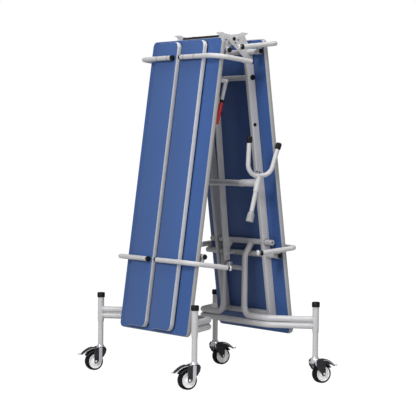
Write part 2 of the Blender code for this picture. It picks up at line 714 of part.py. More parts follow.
def build_fork(name, swivel):
    head = turned([
        (HEAD_RADIUS - HEAD_LIP, HEAD_BOTTOM),
        (HEAD_RADIUS, HEAD_BOTTOM + HEAD_LIP),
        (HEAD_RADIUS, HEAD_BOTTOM + HEAD_WALL),
        (LEG_FOOT_RADIUS, LEG_BOTTOM - SEAT_GAP),
    ])
    fork = finish(f"fork_{name}", head, swivel, "zinc")
    brow = HEAD_RADIUS - CHEEK_TIP
    outline = hull_outline([
        (WHEEL_TRAIL, WHEEL_RADIUS, CHEEK_TIP),
        (PEDAL_PIVOT_OUT, PEDAL_PIVOT_UP, PEDAL_BARREL),
        (-brow, HEAD_BOTTOM, PEDAL_BARREL),
    ])
    inner = WHEEL_WIDTH / 2 + FORK_GAP
    outer = inner + CHEEK
    shapes = [
        box((-brow, -outer, HEAD_BOTTOM - DECK / 2), (brow, outer, HEAD_BOTTOM + DECK / 2)),
        tube([(WHEEL_TRAIL, -outer - AXLE_HEAD, WHEEL_RADIUS),
              (WHEEL_TRAIL, outer + AXLE_HEAD, WHEEL_RADIUS)], AXLE_RADIUS),
        tube([(PEDAL_PIVOT_OUT, -inner - CHEEK / 2, PEDAL_PIVOT_UP),
              (PEDAL_PIVOT_OUT, inner + CHEEK / 2, PEDAL_PIVOT_UP)], PEDAL_PIN, 8),
    ]
    for low in (-outer, inner):
        shapes.append(prism(outline, low, low + CHEEK, lambda out, up, across: Vector((out, across, up))))
    combine(fork, "UNION", [finish("fork_shape", shape, swivel) for shape in shapes])


def build_wheel(name, stand, swivel):
    half = WHEEL_WIDTH / 2
    axle = empty(f"axle_{name}", stand @ Matrix.Translation((WHEEL_TRAIL, 0, WHEEL_RADIUS)), swivel)
    bed = WHEEL_RADIUS - TYRE_DEPTH
    shoulder = WHEEL_RADIUS - TYRE_SHOULDER
    tyre = ring([
        (bed, -half), (shoulder, -half), (WHEEL_RADIUS, -half + TYRE_SHOULDER),
        (WHEEL_RADIUS, half - TYRE_SHOULDER), (shoulder, half), (bed, half),
    ])
    finish(f"tyre_{name}", tyre, axle, "tyre_black")
    edge = bed - SEAT_GAP
    bore = AXLE_RADIUS + RUN_GAP
    web = half - RIM_DISH
    rim = ring([
        (bore, -half), (HUB_RADIUS, -half), (HUB_RADIUS, -web), (edge - RIM_LIP, -web), (edge, -half),
        (edge, half), (edge - RIM_LIP, web), (HUB_RADIUS, web), (HUB_RADIUS, half), (bore, half),
    ])
    finish(f"rim_{name}", rim, axle, "rim_grey")


def build_pedal(name, stand, swivel):
    # A foot brake hinged between the fork cheeks, reaching out over the wheel.
    pedal_pin = Matrix.Translation((PEDAL_PIVOT_OUT, 0, PEDAL_PIVOT_UP))
    origin = empty(f"pedal_axis_{name}", stand @ pedal_pin, swivel)
    half = PEDAL_THICK / 2
    crown = [(PEDAL_REACH * reach, -PEDAL_DROP * drop) for reach, drop in PEDAL_CROWN]
    outline = [(out, up - half) for out, up in crown] + [(out, up + half) for out, up in reversed(crown)]
    across = PEDAL_WIDTH / 2
    plate = prism(outline, -across, across, lambda out, up, side: Vector((out, side, up)))
    pedal = finish(f"pedal_{name}", plate, origin, "cap_black")
    barrel = tube([(0, -across, 0), (0, across, 0)], PEDAL_BARREL)
    combine(pedal, "UNION", [finish("pedal_barrel_shape", barrel, origin)])
    bore = tube([(0, -PEDAL_WIDTH, 0), (0, PEDAL_WIDTH, 0)], PEDAL_PIN + RUN_GAP, 8)
    combine(pedal, "DIFFERENCE", [finish("pedal_bore_cutter", bore, origin)])


def main():
    clear_scene()
    left = Leaf("left", -PIVOT_DEPTH, PIVOT_UP)
    right = Leaf("right", -HINGE_DROP, LEAF_LENGTH + HALF_GAP)
    for leaf in (left, right):
        build_top(leaf)
        build_cross_bars(leaf)
        for end in ENDS[leaf.side]:
            build_rail(leaf, end)
            build_bench(leaf, end)
        for level in BENCH_TUBE_UP:
            build_bench_tube(leaf, level)
        build_frame(leaf)
    build_yokes(right)
    build_shaft_hangers(right)
    build_lever(left)


main()
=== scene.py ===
import math
import random

import bmesh
import bpy
from mathutils import Matrix, Vector


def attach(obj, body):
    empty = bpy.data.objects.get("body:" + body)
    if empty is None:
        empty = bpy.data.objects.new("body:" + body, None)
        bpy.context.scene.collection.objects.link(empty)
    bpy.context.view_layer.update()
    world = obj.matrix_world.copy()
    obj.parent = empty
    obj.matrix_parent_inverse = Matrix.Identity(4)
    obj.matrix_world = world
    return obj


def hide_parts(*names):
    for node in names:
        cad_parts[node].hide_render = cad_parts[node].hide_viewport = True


# folding table with benches, stored upright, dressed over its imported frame
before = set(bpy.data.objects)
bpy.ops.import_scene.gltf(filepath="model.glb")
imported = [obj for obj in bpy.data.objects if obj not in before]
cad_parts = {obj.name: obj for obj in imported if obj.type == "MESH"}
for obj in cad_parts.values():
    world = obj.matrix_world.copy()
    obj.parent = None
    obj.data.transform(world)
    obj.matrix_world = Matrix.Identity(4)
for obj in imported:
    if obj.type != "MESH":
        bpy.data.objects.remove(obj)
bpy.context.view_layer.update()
print("frame loaded:", len(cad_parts), "nodes")

# leaf points are (out of the table top, across it, up from its outer end)
leaf = {
    "length": 1.520, "width": 0.730, "board": 0.024, "corner": 0.030, "bandThick": 0.0036,
    "lean": math.radians(7.0), "hingeHeight": 1.750, "hingeDrop": 0.130, "halfGap": 0.014,
}
turns = {"right": 0.0, "left": math.pi}
hairline = 0.0003  # gap between neighbours that move or touch
endSigns = {"right": {"front": -1, "rear": 1}, "left": {"front": 1, "rear": -1}}
hingeOut = -leaf["hingeDrop"]
hingeUp = leaf["length"] + leaf["halfGap"]


def leafPlace(side):
    turn = Matrix.Rotation(turns[side], 4, "Z") @ Matrix.Rotation(-leaf["lean"], 4, "Y")
    hinge = Vector((hingeOut, 0, hingeUp))
    return Matrix.Translation((0, 0, leaf["hingeHeight"])) @ turn @ Matrix.Translation(-hinge)


# shader wiring

class Wire:  # a socket that takes plain maths
    def __init__(self, graph, socket):
        self.graph = graph
        self.socket = socket

    def maths(self, operation, first, second):
        return self.graph.node("ShaderNodeMath", {"operation": operation}, {0: first, 1: second})

    def __add__(self, other):
        return self.maths("ADD", self, other)

    def __radd__(self, other):
        return self.maths("ADD", other, self)

    def __sub__(self, other):
        return self.maths("SUBTRACT", self, other)

    def __rsub__(self, other):
        return self.maths("SUBTRACT", other, self)

    def __mul__(self, other):
        return self.maths("MULTIPLY", self, other)

    def __rmul__(self, other):
        return self.maths("MULTIPLY", other, self)

    def __truediv__(self, other):
        return self.maths("DIVIDE", self, other)

    def __rtruediv__(self, other):
        return self.maths("DIVIDE", other, self)

    def __pow__(self, other):
        return self.maths("POWER", self, other)

    def __rpow__(self, other):
        return self.maths("POWER", other, self)


class Finish:  # one material and the nodes behind it
    def __init__(self, name, **fixed):
        self.material = bpy.data.materials.new(name)
        self.material.use_nodes = True
        self.tree = self.material.node_tree
        self.shader = self.tree.nodes["Principled BSDF"]
        for socket, value in fixed.items():
            self.shader.inputs[socket.replace("_", " ")].default_value = value

    def node(self, kind, settings=None, inputs=None, output=0):
        made = self.tree.nodes.new(kind)
        for key, value in (settings or {}).items():
            if key == "stops":
                self.setStops(made.color_ramp.elements, value)
            else:
                setattr(made, key, value)
        for key, value in (inputs or {}).items():
            if isinstance(value, Wire):
                self.tree.links.new(value.socket, made.inputs[key])
            else:
                made.inputs[key].default_value = value
        return Wire(self, made.outputs[output])

    def setStops(self, elements, stops):
        while len(elements) < len(stops):
            elements.new(0.5)
        for element, (position, colour) in zip(elements, stops):
            element.position = position
            element.color = (*colour, 1.0)

    def spots(self, inputs, kind="ShaderNodeTexNoise", settings=None, output=0):
        coords = self.node("ShaderNodeTexCoord", output="Object")
        return self.node(kind, settings, {"Vector": coords, **inputs}, output)

    def ramp(self, factor, stops):
        return self.node("ShaderNodeValToRGB", {"stops": stops}, {0: factor})

    def mix(self, factor, first, second):
        return self.node("ShaderNodeMix", {"data_type": "RGBA"}, {0: factor, 6: first, 7: second}, 2)

    def feed(self, socket, wire):
        self.tree.links.new(wire.socket, self.shader.inputs[socket])

    def bump(self, height, strength, distance):
        self.feed("Normal", self.node(
            "ShaderNodeBump", None, {"Strength": strength, "Distance": distance, "Height": height}))


def rgba(red, green, blue):  # display colour, 0 to 255, as linear light
    return tuple(((part / 255 + 0.055) / 1.055) ** 2.4 for part in (red, green, blue)) + (1.0,)


def laminateFinish(name, light, dark):
    made = Finish(name, Specular_IOR_Level=0.28)
    cloud = made.spots({"Scale": 3.2, "Detail": 3.0})
    fleck = made.spots({"Scale": 900.0, "Detail": 1.0})
    made.feed("Base Color", made.mix(cloud * 0.55 + fleck * 0.45, dark, light))
    made.feed("Roughness", 0.42 + cloud * 0.10 + fleck * 0.06)
    pebble = made.spots({"Scale": 420.0, "Detail": 2.0})
    made.bump(pebble, 0.10, 0.0006)
    return made.material


def coatFinish(name, light, dark, peel=0.16, roughness=0.34):
    made = Finish(name, Specular_IOR_Level=0.5)
    cloud = made.spots({"Scale": 6.0, "Detail": 4.0, "Roughness": 0.6})
    dust = made.spots({"Scale": 70.0, "Detail": 3.0})
    made.feed("Base Color", made.mix(cloud * 0.6 + dust * 0.4, dark, light))
    made.feed("Roughness", roughness + dust * 0.14)
    skin = made.spots({"Scale": 520.0, "Detail": 1.5, "Roughness": 0.4})
    made.bump(skin, peel, 0.0005)
    return made.material


def zincFinish(name, light, dark, roughness):
    made = Finish(name, Metallic=0.55)
    flakes = made.spots({"Scale": 240.0}, "ShaderNodeTexVoronoi", {"feature": "F1"})
    smear = made.spots({"Scale": 26.0, "Detail": 4.0})
    made.feed("Base Color", made.mix(flakes * 0.4 + smear * 0.6, dark, light))
    made.feed("Roughness", roughness + smear * 0.16)
    made.bump(smear, 0.06, 0.0008)
    return made.material


def mouldedFinish(name, light, dark, roughness, grain=700.0, depth=0.14, shine=0.45):
    made = Finish(name, Specular_IOR_Level=shine)
    tone = made.spots({"Scale": 38.0, "Detail": 3.0})
    made.feed("Base Color", made.mix(tone, dark, light))
    pits = made.spots({"Scale": grain, "Detail": 1.0})
    made.feed("Roughness", roughness + pits * 0.14)
    made.bump(pits, depth, 0.0006)
    return made.material


def rubberFinish(name):
    made = Finish(name, Specular_IOR_Level=0.14)
    dust = made.spots({"Scale": 55.0, "Detail": 5.0, "Roughness": 0.65})
    made.feed("Base Color", made.ramp(dust, [
        (0.35, rgba(9, 9, 10)[:3]), (0.62, rgba(18, 18, 19)[:3]), (0.80, rgba(36, 35, 35)[:3])]))
    made.feed("Roughness", 0.55 + dust * 0.25)
    made.bump(made.spots({"Scale": 900.0, "Detail": 2.0}), 0.2, 0.0005)
    return made.material


finishes = {
    "laminate": laminateFinish("blueLaminate", rgba(65, 94, 147), rgba(56, 83, 135)),
    # the table tops' laminate is the seats' blue painted darker: painted shade
    "topLaminate": laminateFinish("bluePaintedShadeTopLaminate", rgba(58, 90, 146), rgba(50, 79, 133)),
    "band": mouldedFinish("greyEdgeBand", rgba(155, 155, 156), rgba(141, 141, 143), 0.42, 500.0, 0.06),
    # the seats' edge band is the board's band painted lighter: painted light
    "seatBand": mouldedFinish("seatEdgeBandPaintedLight", rgba(198, 198, 199), rgba(184, 184, 186), 0.42, 500.0, 0.06),
    "coat": coatFinish("greyPowderCoat", rgba(191, 190, 191), rgba(177, 176, 178)),
    # a darker grey, used on the hinge tube
    "darkCoat": coatFinish("darkerGreyFinish", rgba(92, 90, 90), rgba(76, 75, 76)),
    "weld": coatFinish("coatedWeld", rgba(200, 199, 200), rgba(178, 177, 178), 0.3, 0.42),
    # black for caps, plugs and washers, and also the painted shade in holes and under the seats
    "cap": mouldedFinish("blackCapAndPaintedShade", rgba(20, 20, 21), rgba(12, 12, 13), 0.46, shine=0.2),
    "cover": mouldedFinish("brakeCoverGrey", rgba(46, 47, 50), rgba(32, 33, 36), 0.46, 900.0, 0.2, 0.25),
    "zinc": zincFinish("zincPlate", rgba(226, 226, 230), rgba(186, 187, 192), 0.2),
    "bolt": zincFinish("brightBolt", rgba(236, 236, 238), rgba(206, 206, 210), 0.16),
    "tyre": rubberFinish("tyreRubber"),
    "rim": mouldedFinish("rimPlastic", rgba(244, 244, 245), rgba(234, 234, 236), 0.36, 300.0, 0.05),
    "grip": mouldedFinish("redGrip", rgba(205, 42, 40), rgba(176, 30, 30), 0.3, 260.0, 0.1),
}
print("finishes made:", len(finishes))


# shapes

def carrier(place, body):  # keeps pieces at one place, on one body
    def put(name, shape, finish, replaced=(), sharp=32):
        whole = merge(shape) if isinstance(shape, list) else shape
        mesh = bpy.data.meshes.new(name)
        whole.transform(place)
        bmesh.ops.recalc_face_normals(whole, faces=whole.faces)
        whole.to_mesh(mesh)
        whole.free()
        mesh.shade_smooth()
        mesh.set_sharp_from_angle(angle=math.radians(sharp))
        mesh.materials.append(finishes[finish])
        piece = bpy.data.objects.new(name, mesh)
        bpy.context.scene.collection.objects.link(piece)
        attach(piece, body)
        if replaced:
            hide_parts(*replaced)
        return piece

    return put


def merge(parts):
    whole = bmesh.new()
    for part in parts:
        mesh = bpy.data.meshes.new("part")
        part.to_mesh(mesh)
        part.free()
        whole.from_mesh(mesh)
        bpy.data.meshes.remove(mesh)
    return whole


def roundCorner(before, corner, after, radius, steps):  # points of the arc that eases a corner
    back = (before - corner).normalized()
    ahead = (after - corner).normalized()
    half = back.angle(ahead) / 2
    reach = radius / math.tan(half)
    centre = corner + (back + ahead).normalized() * (radius / math.sin(half))
    start = corner + back * reach - centre
    axis = start.cross(corner + ahead * reach - centre)
    sweep = math.pi - 2 * half
    return [centre + Matrix.Rotation(sweep * step / steps, 3, axis) @ start for step in range(steps + 1)]


def roundedPath(corners, bend, steps=9):
    corners = [Vector(corner) for corner in corners]
    points = corners[:1]
    for before, corner, after in zip(corners, corners[1:], corners[2:]):
        points += roundCorner(before, corner, after, bend, steps)
    return points + corners[-1:]


def spokes(count):  # points round a unit circle
    angles = [2 * math.pi * step / count for step in range(count)]
    return [(math.cos(angle), math.sin(angle)) for angle in angles]


def skin(shape, rings, closed=False):  # four-sided faces from ring to ring
    following = rings[1:] + rings[:1] if closed else rings[1:]
    for low, high in zip(rings, following):
        for step, corner in enumerate(low):
            after = (step + 1) % len(low)
            shape.faces.new((corner, low[after], high[after], high[step]))


def sweepTube(path, radius, around=28, edge=0.0012):
    points = [Vector(point) for point in path]
    radii = list(radius) if isinstance(radius, (list, tuple)) else [radius] * len(points)
    first = (points[1] - points[0]).normalized()
    last = (points[-1] - points[-2]).normalized()
    points = [points[0], points[0] + first * edge] + points[1:-1] + [points[-1] - last * edge, points[-1]]
    radii = [radii[0] - edge, radii[0]] + radii[1:-1] + [radii[-1], radii[-1] - edge]
    ways = [(b - a).normalized() for a, b in zip(points, points[1:])]
    shape = bmesh.new()
    side = ways[0].orthogonal().normalized()
    rings = []
    for index, point in enumerate(points):
        way = (ways[max(index - 1, 0)] + ways[min(index, len(ways) - 1)]).normalized()
        side = (side - way * side.dot(way)).normalized()
        other = way.cross(side)
        rings.append([
            shape.verts.new(point + radii[index] * (side * x + other * y)) for x, y in spokes(around)])
    skin(shape, rings)
    shape.faces.new(rings[0])
    shape.faces.new(rings[-1])
    return shape


def crossTube(out, half, up, *form):  # straight, from side to side
    return sweepTube([(out, -half, up), (out, half, up)], *form)


def facing(centre, axis):  # z along the axis
    return Matrix.Translation(Vector(centre)) @ Vector(axis).to_track_quat("Z", "Y").to_matrix().to_4x4()


def lathe(profile, place=Matrix(), around=36):  # (radius, height) points turned about z
    shape = bmesh.new()
    rings = []
    for radius, height in profile:
        count = around if radius > 1e-6 else 1
        rings.append([shape.verts.new((radius * x, radius * y, height)) for x, y in spokes(around)[:count]])
    for low, high in zip(rings, rings[1:]):
        for step in range(around):
            after = (step + 1) % around
            corners = [low[step % len(low)], low[after % len(low)]]
            corners += [high[after % len(high)], high[step % len(high)]]
            corners = list(dict.fromkeys(corners))
            if len(corners) > 2:
                shape.faces.new(corners)
    if len(rings[0]) > 1 and len(rings[-1]) > 1:  # an open bore is closed ring to ring
        skin(shape, [rings[-1], rings[0]])
    shape.transform(place)
    return shape


def disc(radius, low, high, place, around):
    return lathe([(0, low), (radius, low), (radius, high), (0, high)], place, around)


def turned(shares, centre, axis, radius, height, around):  # a profile in shares of radius and height
    return lathe([(radius * wide, height * up) for wide, up in shares], facing(centre, axis), around)


def slab(outline, low, high, lay, soft=0.0008, segments=2):
    shape = bmesh.new()
    bottom = shape.faces.new([shape.verts.new(lay(a, b, low)) for a, b in outline])
    top = shape.faces.new([shape.verts.new(lay(a, b, high)) for a, b in outline])
    skin(shape, [list(bottom.verts), list(top.verts)])
    bmesh.ops.recalc_face_normals(shape, faces=shape.faces)
    rims = list(bottom.edges) + list(top.edges)
    bmesh.ops.bevel(shape, geom=rims, offset=soft, segments=segments, affect="EDGES", profile=0.6)
    return shape


def roundedOutline(corners, steps=6):  # (across, along, radius) corners, inner and outer
    spots = [Vector((x, y, 0)) for x, y, radius in corners]
    radii = [radius for x, y, radius in corners]
    outline = []
    for before, spot, after, radius in zip(spots[-1:] + spots, spots, spots[1:] + spots[:1], radii):
        outline += [point.to_2d() for point in roundCorner(before, spot, after, radius, steps)]
    return outline


def rectangle(halfAcross, low, high, corner, steps=6, centre=0.0):
    return roundedOutline([
        (centre + halfAcross, low, corner), (centre + halfAcross, high, corner),
        (centre - halfAcross, high, corner), (centre - halfAcross, low, corner)], steps)


def box(nearA, farA, nearB, farB, corner, steps):  # four equal corners
    return roundedOutline(
        [(nearA, nearB, corner), (farA, nearB, corner), (farA, farB, corner), (nearA, farB, corner)], steps)


def capsule(first, second, radiusFirst, radiusSecond, steps=10):  # outline round two circles
    a, b = Vector(first), Vector(second)
    base = math.atan2(b.y - a.y, b.x - a.x)
    tilt = math.acos((radiusFirst - radiusSecond) / (b - a).length)
    outline = []
    for centre, radius, start, stop in (
        (b, radiusSecond, -tilt, tilt), (a, radiusFirst, tilt, 2 * math.pi - tilt)
    ):
        for step in range(steps + 1):
            angle = base + start + (stop - start) * step / steps
            outline.append((centre.x + radius * math.cos(angle), centre.y + radius * math.sin(angle)))
    return outline


def sideLay(out, up, across):
    return Vector((out, across, up))


def flatLay(out, across, up):
    return Vector((out, across, up))


def boardLay(across, up, out):
    return Vector((out, across, up))


beadDice = random.Random(7)


def weldBead(centre, axis, radius, thick=0.0024, around=44, cross=8):
    shape = bmesh.new()
    phase = beadDice.uniform(0, 6.28)
    rings = []
    for step in range(around):
        angle = 2 * math.pi * step / around
        size = thick * (1 + 0.16 * math.sin(15 * angle + phase) + beadDice.uniform(-0.07, 0.07))
        way = Vector((math.cos(angle), math.sin(angle), 0))
        rings.append([
            shape.verts.new(way * (radius + size * x) + Vector((0, 0, size * y))) for x, y in spokes(cross)])
    skin(shape, rings, True)
    shape.transform(facing(centre, axis))
    return shape


screwSizes = {  # head radius and height
    "seat": (0.0055, 0.0028), "hinge": (0.0064, 0.0040), "strut": (0.0062, 0.0030), "board": (0.005, 0.0024),
    "hanger": (0.0040, 0.0024), "lever": (0.0062, 0.0032), "axle": (0.0062, 0.0036),
}


def socketScrew(centre, axis, use):  # round head with a hollow for the key
    shares = [(0, 0.45), (0.42, 0.5), (0.48, 1), (0.74, 0.94), (0.94, 0.62), (1, 0.2), (1, -1), (0, -1)]
    return turned(shares, centre, axis, *screwSizes[use], 20)


def hexBolt(centre, axis, radius, height):  # chamfered hexagon on a washer
    hexagon = [(radius * x, radius * y) for x, y in spokes(6)]
    head = slab(hexagon, height * 0.2, height, flatLay, radius * 0.1, 2)
    head.transform(facing(centre, axis))
    shares = [(0, 0.3), (1.3, 0.3), (1.4, 0.2), (1.4, -0.2), (0, -0.2)]
    return merge([head, turned(shares, centre, axis, radius, height, 24)])


def tubePlug(centre, axis, radius, height=0.004):  # pressed-in end plug with a domed flange
    shares = [(0, 1), (0.55, 0.96), (0.84, 0.7), (0.98, 0.32), (1, 0), (0.8, -0.2), (0.76, -2), (0, -2)]
    return turned(shares, centre, axis, radius, height, 28)


def sleeveCap(tip, axis, radius, length, wall=0.0012):  # slips over a tube's end
    outer, bore = radius + wall, radius * 0.96
    return lathe([
        (0, wall), (outer * 0.7, wall * 0.9), (outer * 0.93, 0), (outer, -wall * 2), (outer, -length + wall),
        (outer - wall * 0.6, -length), (bore, -length), (bore, -length * 0.8), (0, -length * 0.8),
    ], facing(tip, axis), 28)


# boards

def panelAndBand(put, names, halfAcross, low, high, corner, bottom, top, centre, replaced, crown, finish):
    def inset(edge):
        return rectangle(halfAcross - edge, low + edge, high - edge, corner - edge, 8, centre)

    panel = slab(inset(crown), bottom, top, boardLay, 0.0007, 2)
    put(names[0], panel, finish[0], replaced, 30)
    outer, inside = inset(0), inset(crown * 2)
    middle, reach = (bottom + top) / 2, (top - bottom) / 2 - 0.0006
    levels = [(0.47 * abs(step / 6) ** 2.6, middle + reach * step / 6) for step in range(-6, 7)]
    shape = bmesh.new()
    rows = []
    for share, level in [(1.0, bottom + 0.0012)] + levels + [(1.0, top - 0.0012)]:
        points = [Vector(a).lerp(Vector(b), share) for a, b in zip(outer, inside)]
        rows.append([shape.verts.new(boardLay(point.x, point.y, level)) for point in points])
    skin(shape, rows, True)
    put(names[1], shape, finish[1], (), 40)


def buildTop(side):
    put = carrier(leafPlace(side), f"leaf_{side}")
    panelAndBand(
        put, (f"tableBoard.{side}", f"tableBand.{side}"), leaf["width"] / 2, 0, leaf["length"],
        leaf["corner"], -leaf["board"], 0, 0, (f"top_{side}",), leaf["bandThick"], ("topLaminate", "band"))


bench = {
    "width": 0.226, "thick": 0.024, "corner": 0.036, "lift": 0.006, "outerShort": 0.018, "hingeShort": 0.0145,
    "centre": {-1: 0.150, 1: 0.120}, "pivotSide": {-1: 0.360, 1: 0.345}, "pivotDepth": 0.150,
    "tubeUp": {"upper": 1.4595, "lower": 0.410}, "tubeHalf": 0.370, "tubeRadius": 0.0145, "tubeDepth": 0.046,
    "armRadius": 0.0125, "armLeg": 0.389, "armBend": {-1: 0.030, 1: 0.075}, "armOverhang": 0.016,
    "armInner": {"right": 0.166, "left": 0.178}, "armOffset": {"right": 0.0315, "left": -0.040},
    "lugThick": 0.006, "lugRadius": 0.016, "lugRoot": 0.010, "pinRadius": 0.005, "pinHead": 0.009,
    "pinHeadThick": 0.006, "capLength": 0.014, "crown": 0.0018, "shadeSheetInset": 0.0015,
    "tongue": 0.014, "tongueIn": 0.006, "tongueRise": {"right": 0.004, "left": 0.0}, "tongueHalf": 0.008,
    "nutRadius": 0.0078, "nutHeight": 0.0090, "screwShares": (0.28, 0.78),
}


def buildBench(side, end):
    put = carrier(leafPlace(side), f"bench_{end}_{side}")
    sign = endSigns[side][end]
    tag = f"{end}.{side}"
    centre = sign * bench["centre"][sign]
    bottom = bench["lift"]
    top = bottom + bench["thick"]
    half, low, high = bench["width"] / 2, bench["outerShort"], leaf["length"] - bench["hingeShort"]
    panelAndBand(
        put, (f"benchBoard.{tag}", f"benchBand.{tag}"), half, low, high, bench["corner"], bottom, top, centre,
        (f"seat_{end}_{side}",), bench["crown"], ("laminate", "seatBand"))
    # a black sheet under the seat, just inside its edge: painted shade that darkens the gap between the seat
    # and the board
    edge = bench["shadeSheetInset"]
    outline = rectangle(half - edge, low + edge, high - edge, bench["corner"] - edge, 8, centre)
    shadeSheet = slab(outline, 0.0008, bottom + 0.0002, boardLay, 0.0003)
    put(f"benchBacking.{tag}", shadeSheet, "cap")
    radius = bench["armRadius"]
    armOut = top + radius + hairline
    leg = sign * bench["armLeg"]
    pivot = (-bench["pivotDepth"], sign * bench["pivotSide"][sign])
    lugHalf = bench["lugThick"] / 2
    caps, screws = [], []
    for level, tubeUp in bench["tubeUp"].items():
        up = tubeUp + bench["armOffset"][side]
        start = Vector((armOut, centre - sign * (half - bench["armOverhang"]), up))
        corner = Vector((armOut, leg, up))
        stop = Vector((-bench["armInner"][side], leg, up))
        arm = sweepTube(roundedPath([start, corner, stop], bench["armBend"][sign]), radius)
        outline = capsule(pivot, (pivot[0], leg), bench["lugRadius"], bench["lugRoot"])
        lug = slab(outline, up - lugHalf, up + lugHalf, flatLay, 0.0008)
        replaced = (f"arm_{level}_{end}_{side}",)
        put(f"benchArm.{level}.{tag}", [arm, lug], "coat", replaced)
        caps.append(sleeveCap(start, start - corner, radius, bench["capLength"]))
        caps.append(sleeveCap(stop, stop - corner, radius, bench["capLength"] / 2))
        if side == "right" or (level == "lower" and end == "front"):  # bolted tongue past the arm's end
            tip = stop + Vector((-bench["tongue"], -sign * bench["tongueIn"], bench["tongueRise"][side]))
            outline = capsule((stop.x, tip.y), (tip.x, tip.y), bench["tongueHalf"], bench["tongueHalf"])
            screws.append(slab(outline, tip.z - 0.003, tip.z + 0.003, flatLay, 0.0008))
            for turn in (-1, 1):
                nutAt = tip + Vector((0, 0, turn * 0.004))
                screws.append(hexBolt(nutAt, (0, 0, turn), bench["nutRadius"], bench["nutHeight"]))
        for share in bench["screwShares"]:
            across = centre - sign * bench["width"] * (0.5 - share)
            if level == "lower":  # a seat screw through the arm
                screws.append(socketScrew((armOut + radius - 0.0008, across, up), (1, 0, 0), "seat"))
            else:  # a thin dark ring round it
                inner, outer = radius - 0.001, radius + 0.0007
                ring = [(inner, -0.0012), (outer, -0.0012), (outer, 0.0012), (inner, 0.0012)]
                caps.append(lathe(ring, facing((armOut, across, up), (0, 1, 0)), 28))
    put(f"armCaps.{tag}", caps, "cap")
    put(f"seatScrews.{tag}", screws, "bolt")


def buildBenchTubes(side):
    put = carrier(leafPlace(side), f"leaf_{side}")
    offset = bench["armOffset"][side]
    step = math.copysign(1, offset)
    half, radius, depth = bench["tubeHalf"], bench["tubeRadius"], -bench["tubeDepth"]
    lug, thick = bench["lugRadius"], bench["lugThick"]
    head = (bench["pinHead"], bench["pinHeadThick"])
    plugs, pins = [], []
    for level, up in bench["tubeUp"].items():
        parts = [crossTube(depth, half, up, radius)]
        for sign in (-1, 1):
            plugs.append(tubePlug((depth, sign * half, up), (0, sign, 0), radius * 0.94))
            across = sign * bench["pivotSide"][sign]
            far = up + step * (abs(offset) - thick / 2 - hairline)
            near = far - step * thick
            outline = capsule((depth, across), (-bench["pivotDepth"], across), lug, lug)
            parts.append(slab(outline, min(near, far), max(near, far), flatLay, 0.0009))
            parts.append(sweepTube([(depth, across, up), (depth, across, near)], radius * 0.8, 20))
            tip = up + step * (abs(offset) + thick / 2 + hairline)
            pivot = Vector((-bench["pivotDepth"], across, tip))
            root = Vector((pivot.x, across, near))
            inside = root + Vector((0, 0, step * 0.001))
            pins.append(sweepTube([pivot, inside], bench["pinRadius"], 16, 0.0004))
            pins.append(hexBolt(pivot, (0, 0, step), *head))
            pins.append(hexBolt(root, (0, 0, -step), *head))
        put(f"benchTube.{level}.{side}", parts, "coat", (f"bench_tube_{level}_{side}",))
    put(f"benchTubePlugs.{side}", plugs, "cap")
    put(f"benchPivotPins.{side}", pins, "zinc")


# leaf frames

rail = {
    "outer": 0.2515, "inner": 0.2215, "depth": 0.042, "start": 0.086, "stop": 1.485, "corner": 0.0045,
    "barUp": 1.328, "barRadius": 0.0145, "barDepth": 0.046, "endWidth": 0.026, "endDepth": 0.022,
    "flatLow": 0.372, "flatHigh": 1.3425, "flatWide": 0.010, "flatDepth": 0.0345, "flatAside": 0.065,
    "flatOut": -0.0608, "standoff": 0.0295, "standoffRadius": 0.0075,
    "holeUp": 1.0855, "holeOut": -0.0501, "holeRadius": 0.0098, "pivotUp": 0.475, "collar": 0.0035,
    "plugOut": -0.0385, "plugInset": 0.0025,
}
hingePlate = {  # corners from the hinge pin, outwards and up, each with its rounding
    "thick": 0.005, "pinRadius": 0.008, "tubeRadius": 0.0145,
    "outline": [
        (0.000, 0.0225, 0.014), (0.030, 0.0270, 0.020), (0.048, 0.0342, 0.008), (0.0815, 0.0324, 0.0025),
        (0.080, 0.0258, 0.0020), (0.063, 0.0190, 0.004), (0.0774, -0.0116, 0.008), (0.096, -0.0315, 0.008),
        (0.0945, -0.055, 0.012), (0.104, -0.085, 0.012), (0.104, -0.109, 0.010), (0.075, -0.113, 0.012),
        (0.0534, -0.088, 0.012), (0.0053, -0.0418, 0.012), (-0.018, -0.024, 0.010), (-0.028, 0.0, 0.012),
        (-0.018, 0.0205, 0.010)],
    "holes": [(0.009, -0.021, 0.0044), (0.0256, -0.0046, 0.0044), (0.042, -0.030, 0.0036)],
    "bolt": (0.0294, -0.0394),
    "cover": [(0.022, 0.010), (0.022, 0.0225), (0.036, 0.0225), (0.036, 0.010)],
}


def hingeLocal(x, z):  # level points round the pin to leaf points, for the right leaf
    lean = leaf["lean"]
    return (
        hingeOut + x * math.cos(lean) + z * math.sin(lean),
        hingeUp - x * math.sin(lean) + z * math.cos(lean))


def cutHoles(piece, cutters):
    made = []
    for cutter in cutters:
        mesh = bpy.data.meshes.new("cutter")
        cutter.to_mesh(mesh)
        cutter.free()
        tool = bpy.data.objects.new("cutter", mesh)
        bpy.context.scene.collection.objects.link(tool)
        step = piece.modifiers.new("hole", "BOOLEAN")
        step.operation = "DIFFERENCE"
        step.solver = "EXACT"
        step.object = tool
        made.append(tool)
    bpy.context.view_layer.update()
    done = bpy.data.meshes.new_from_object(piece.evaluated_get(bpy.context.evaluated_depsgraph_get()))
    piece.modifiers.clear()
    old = piece.data
    piece.data = done
    bpy.data.meshes.remove(old)
    done.set_sharp_from_angle(angle=math.radians(32))
    for tool in made:
        bpy.data.objects.remove(tool, do_unlink=True)


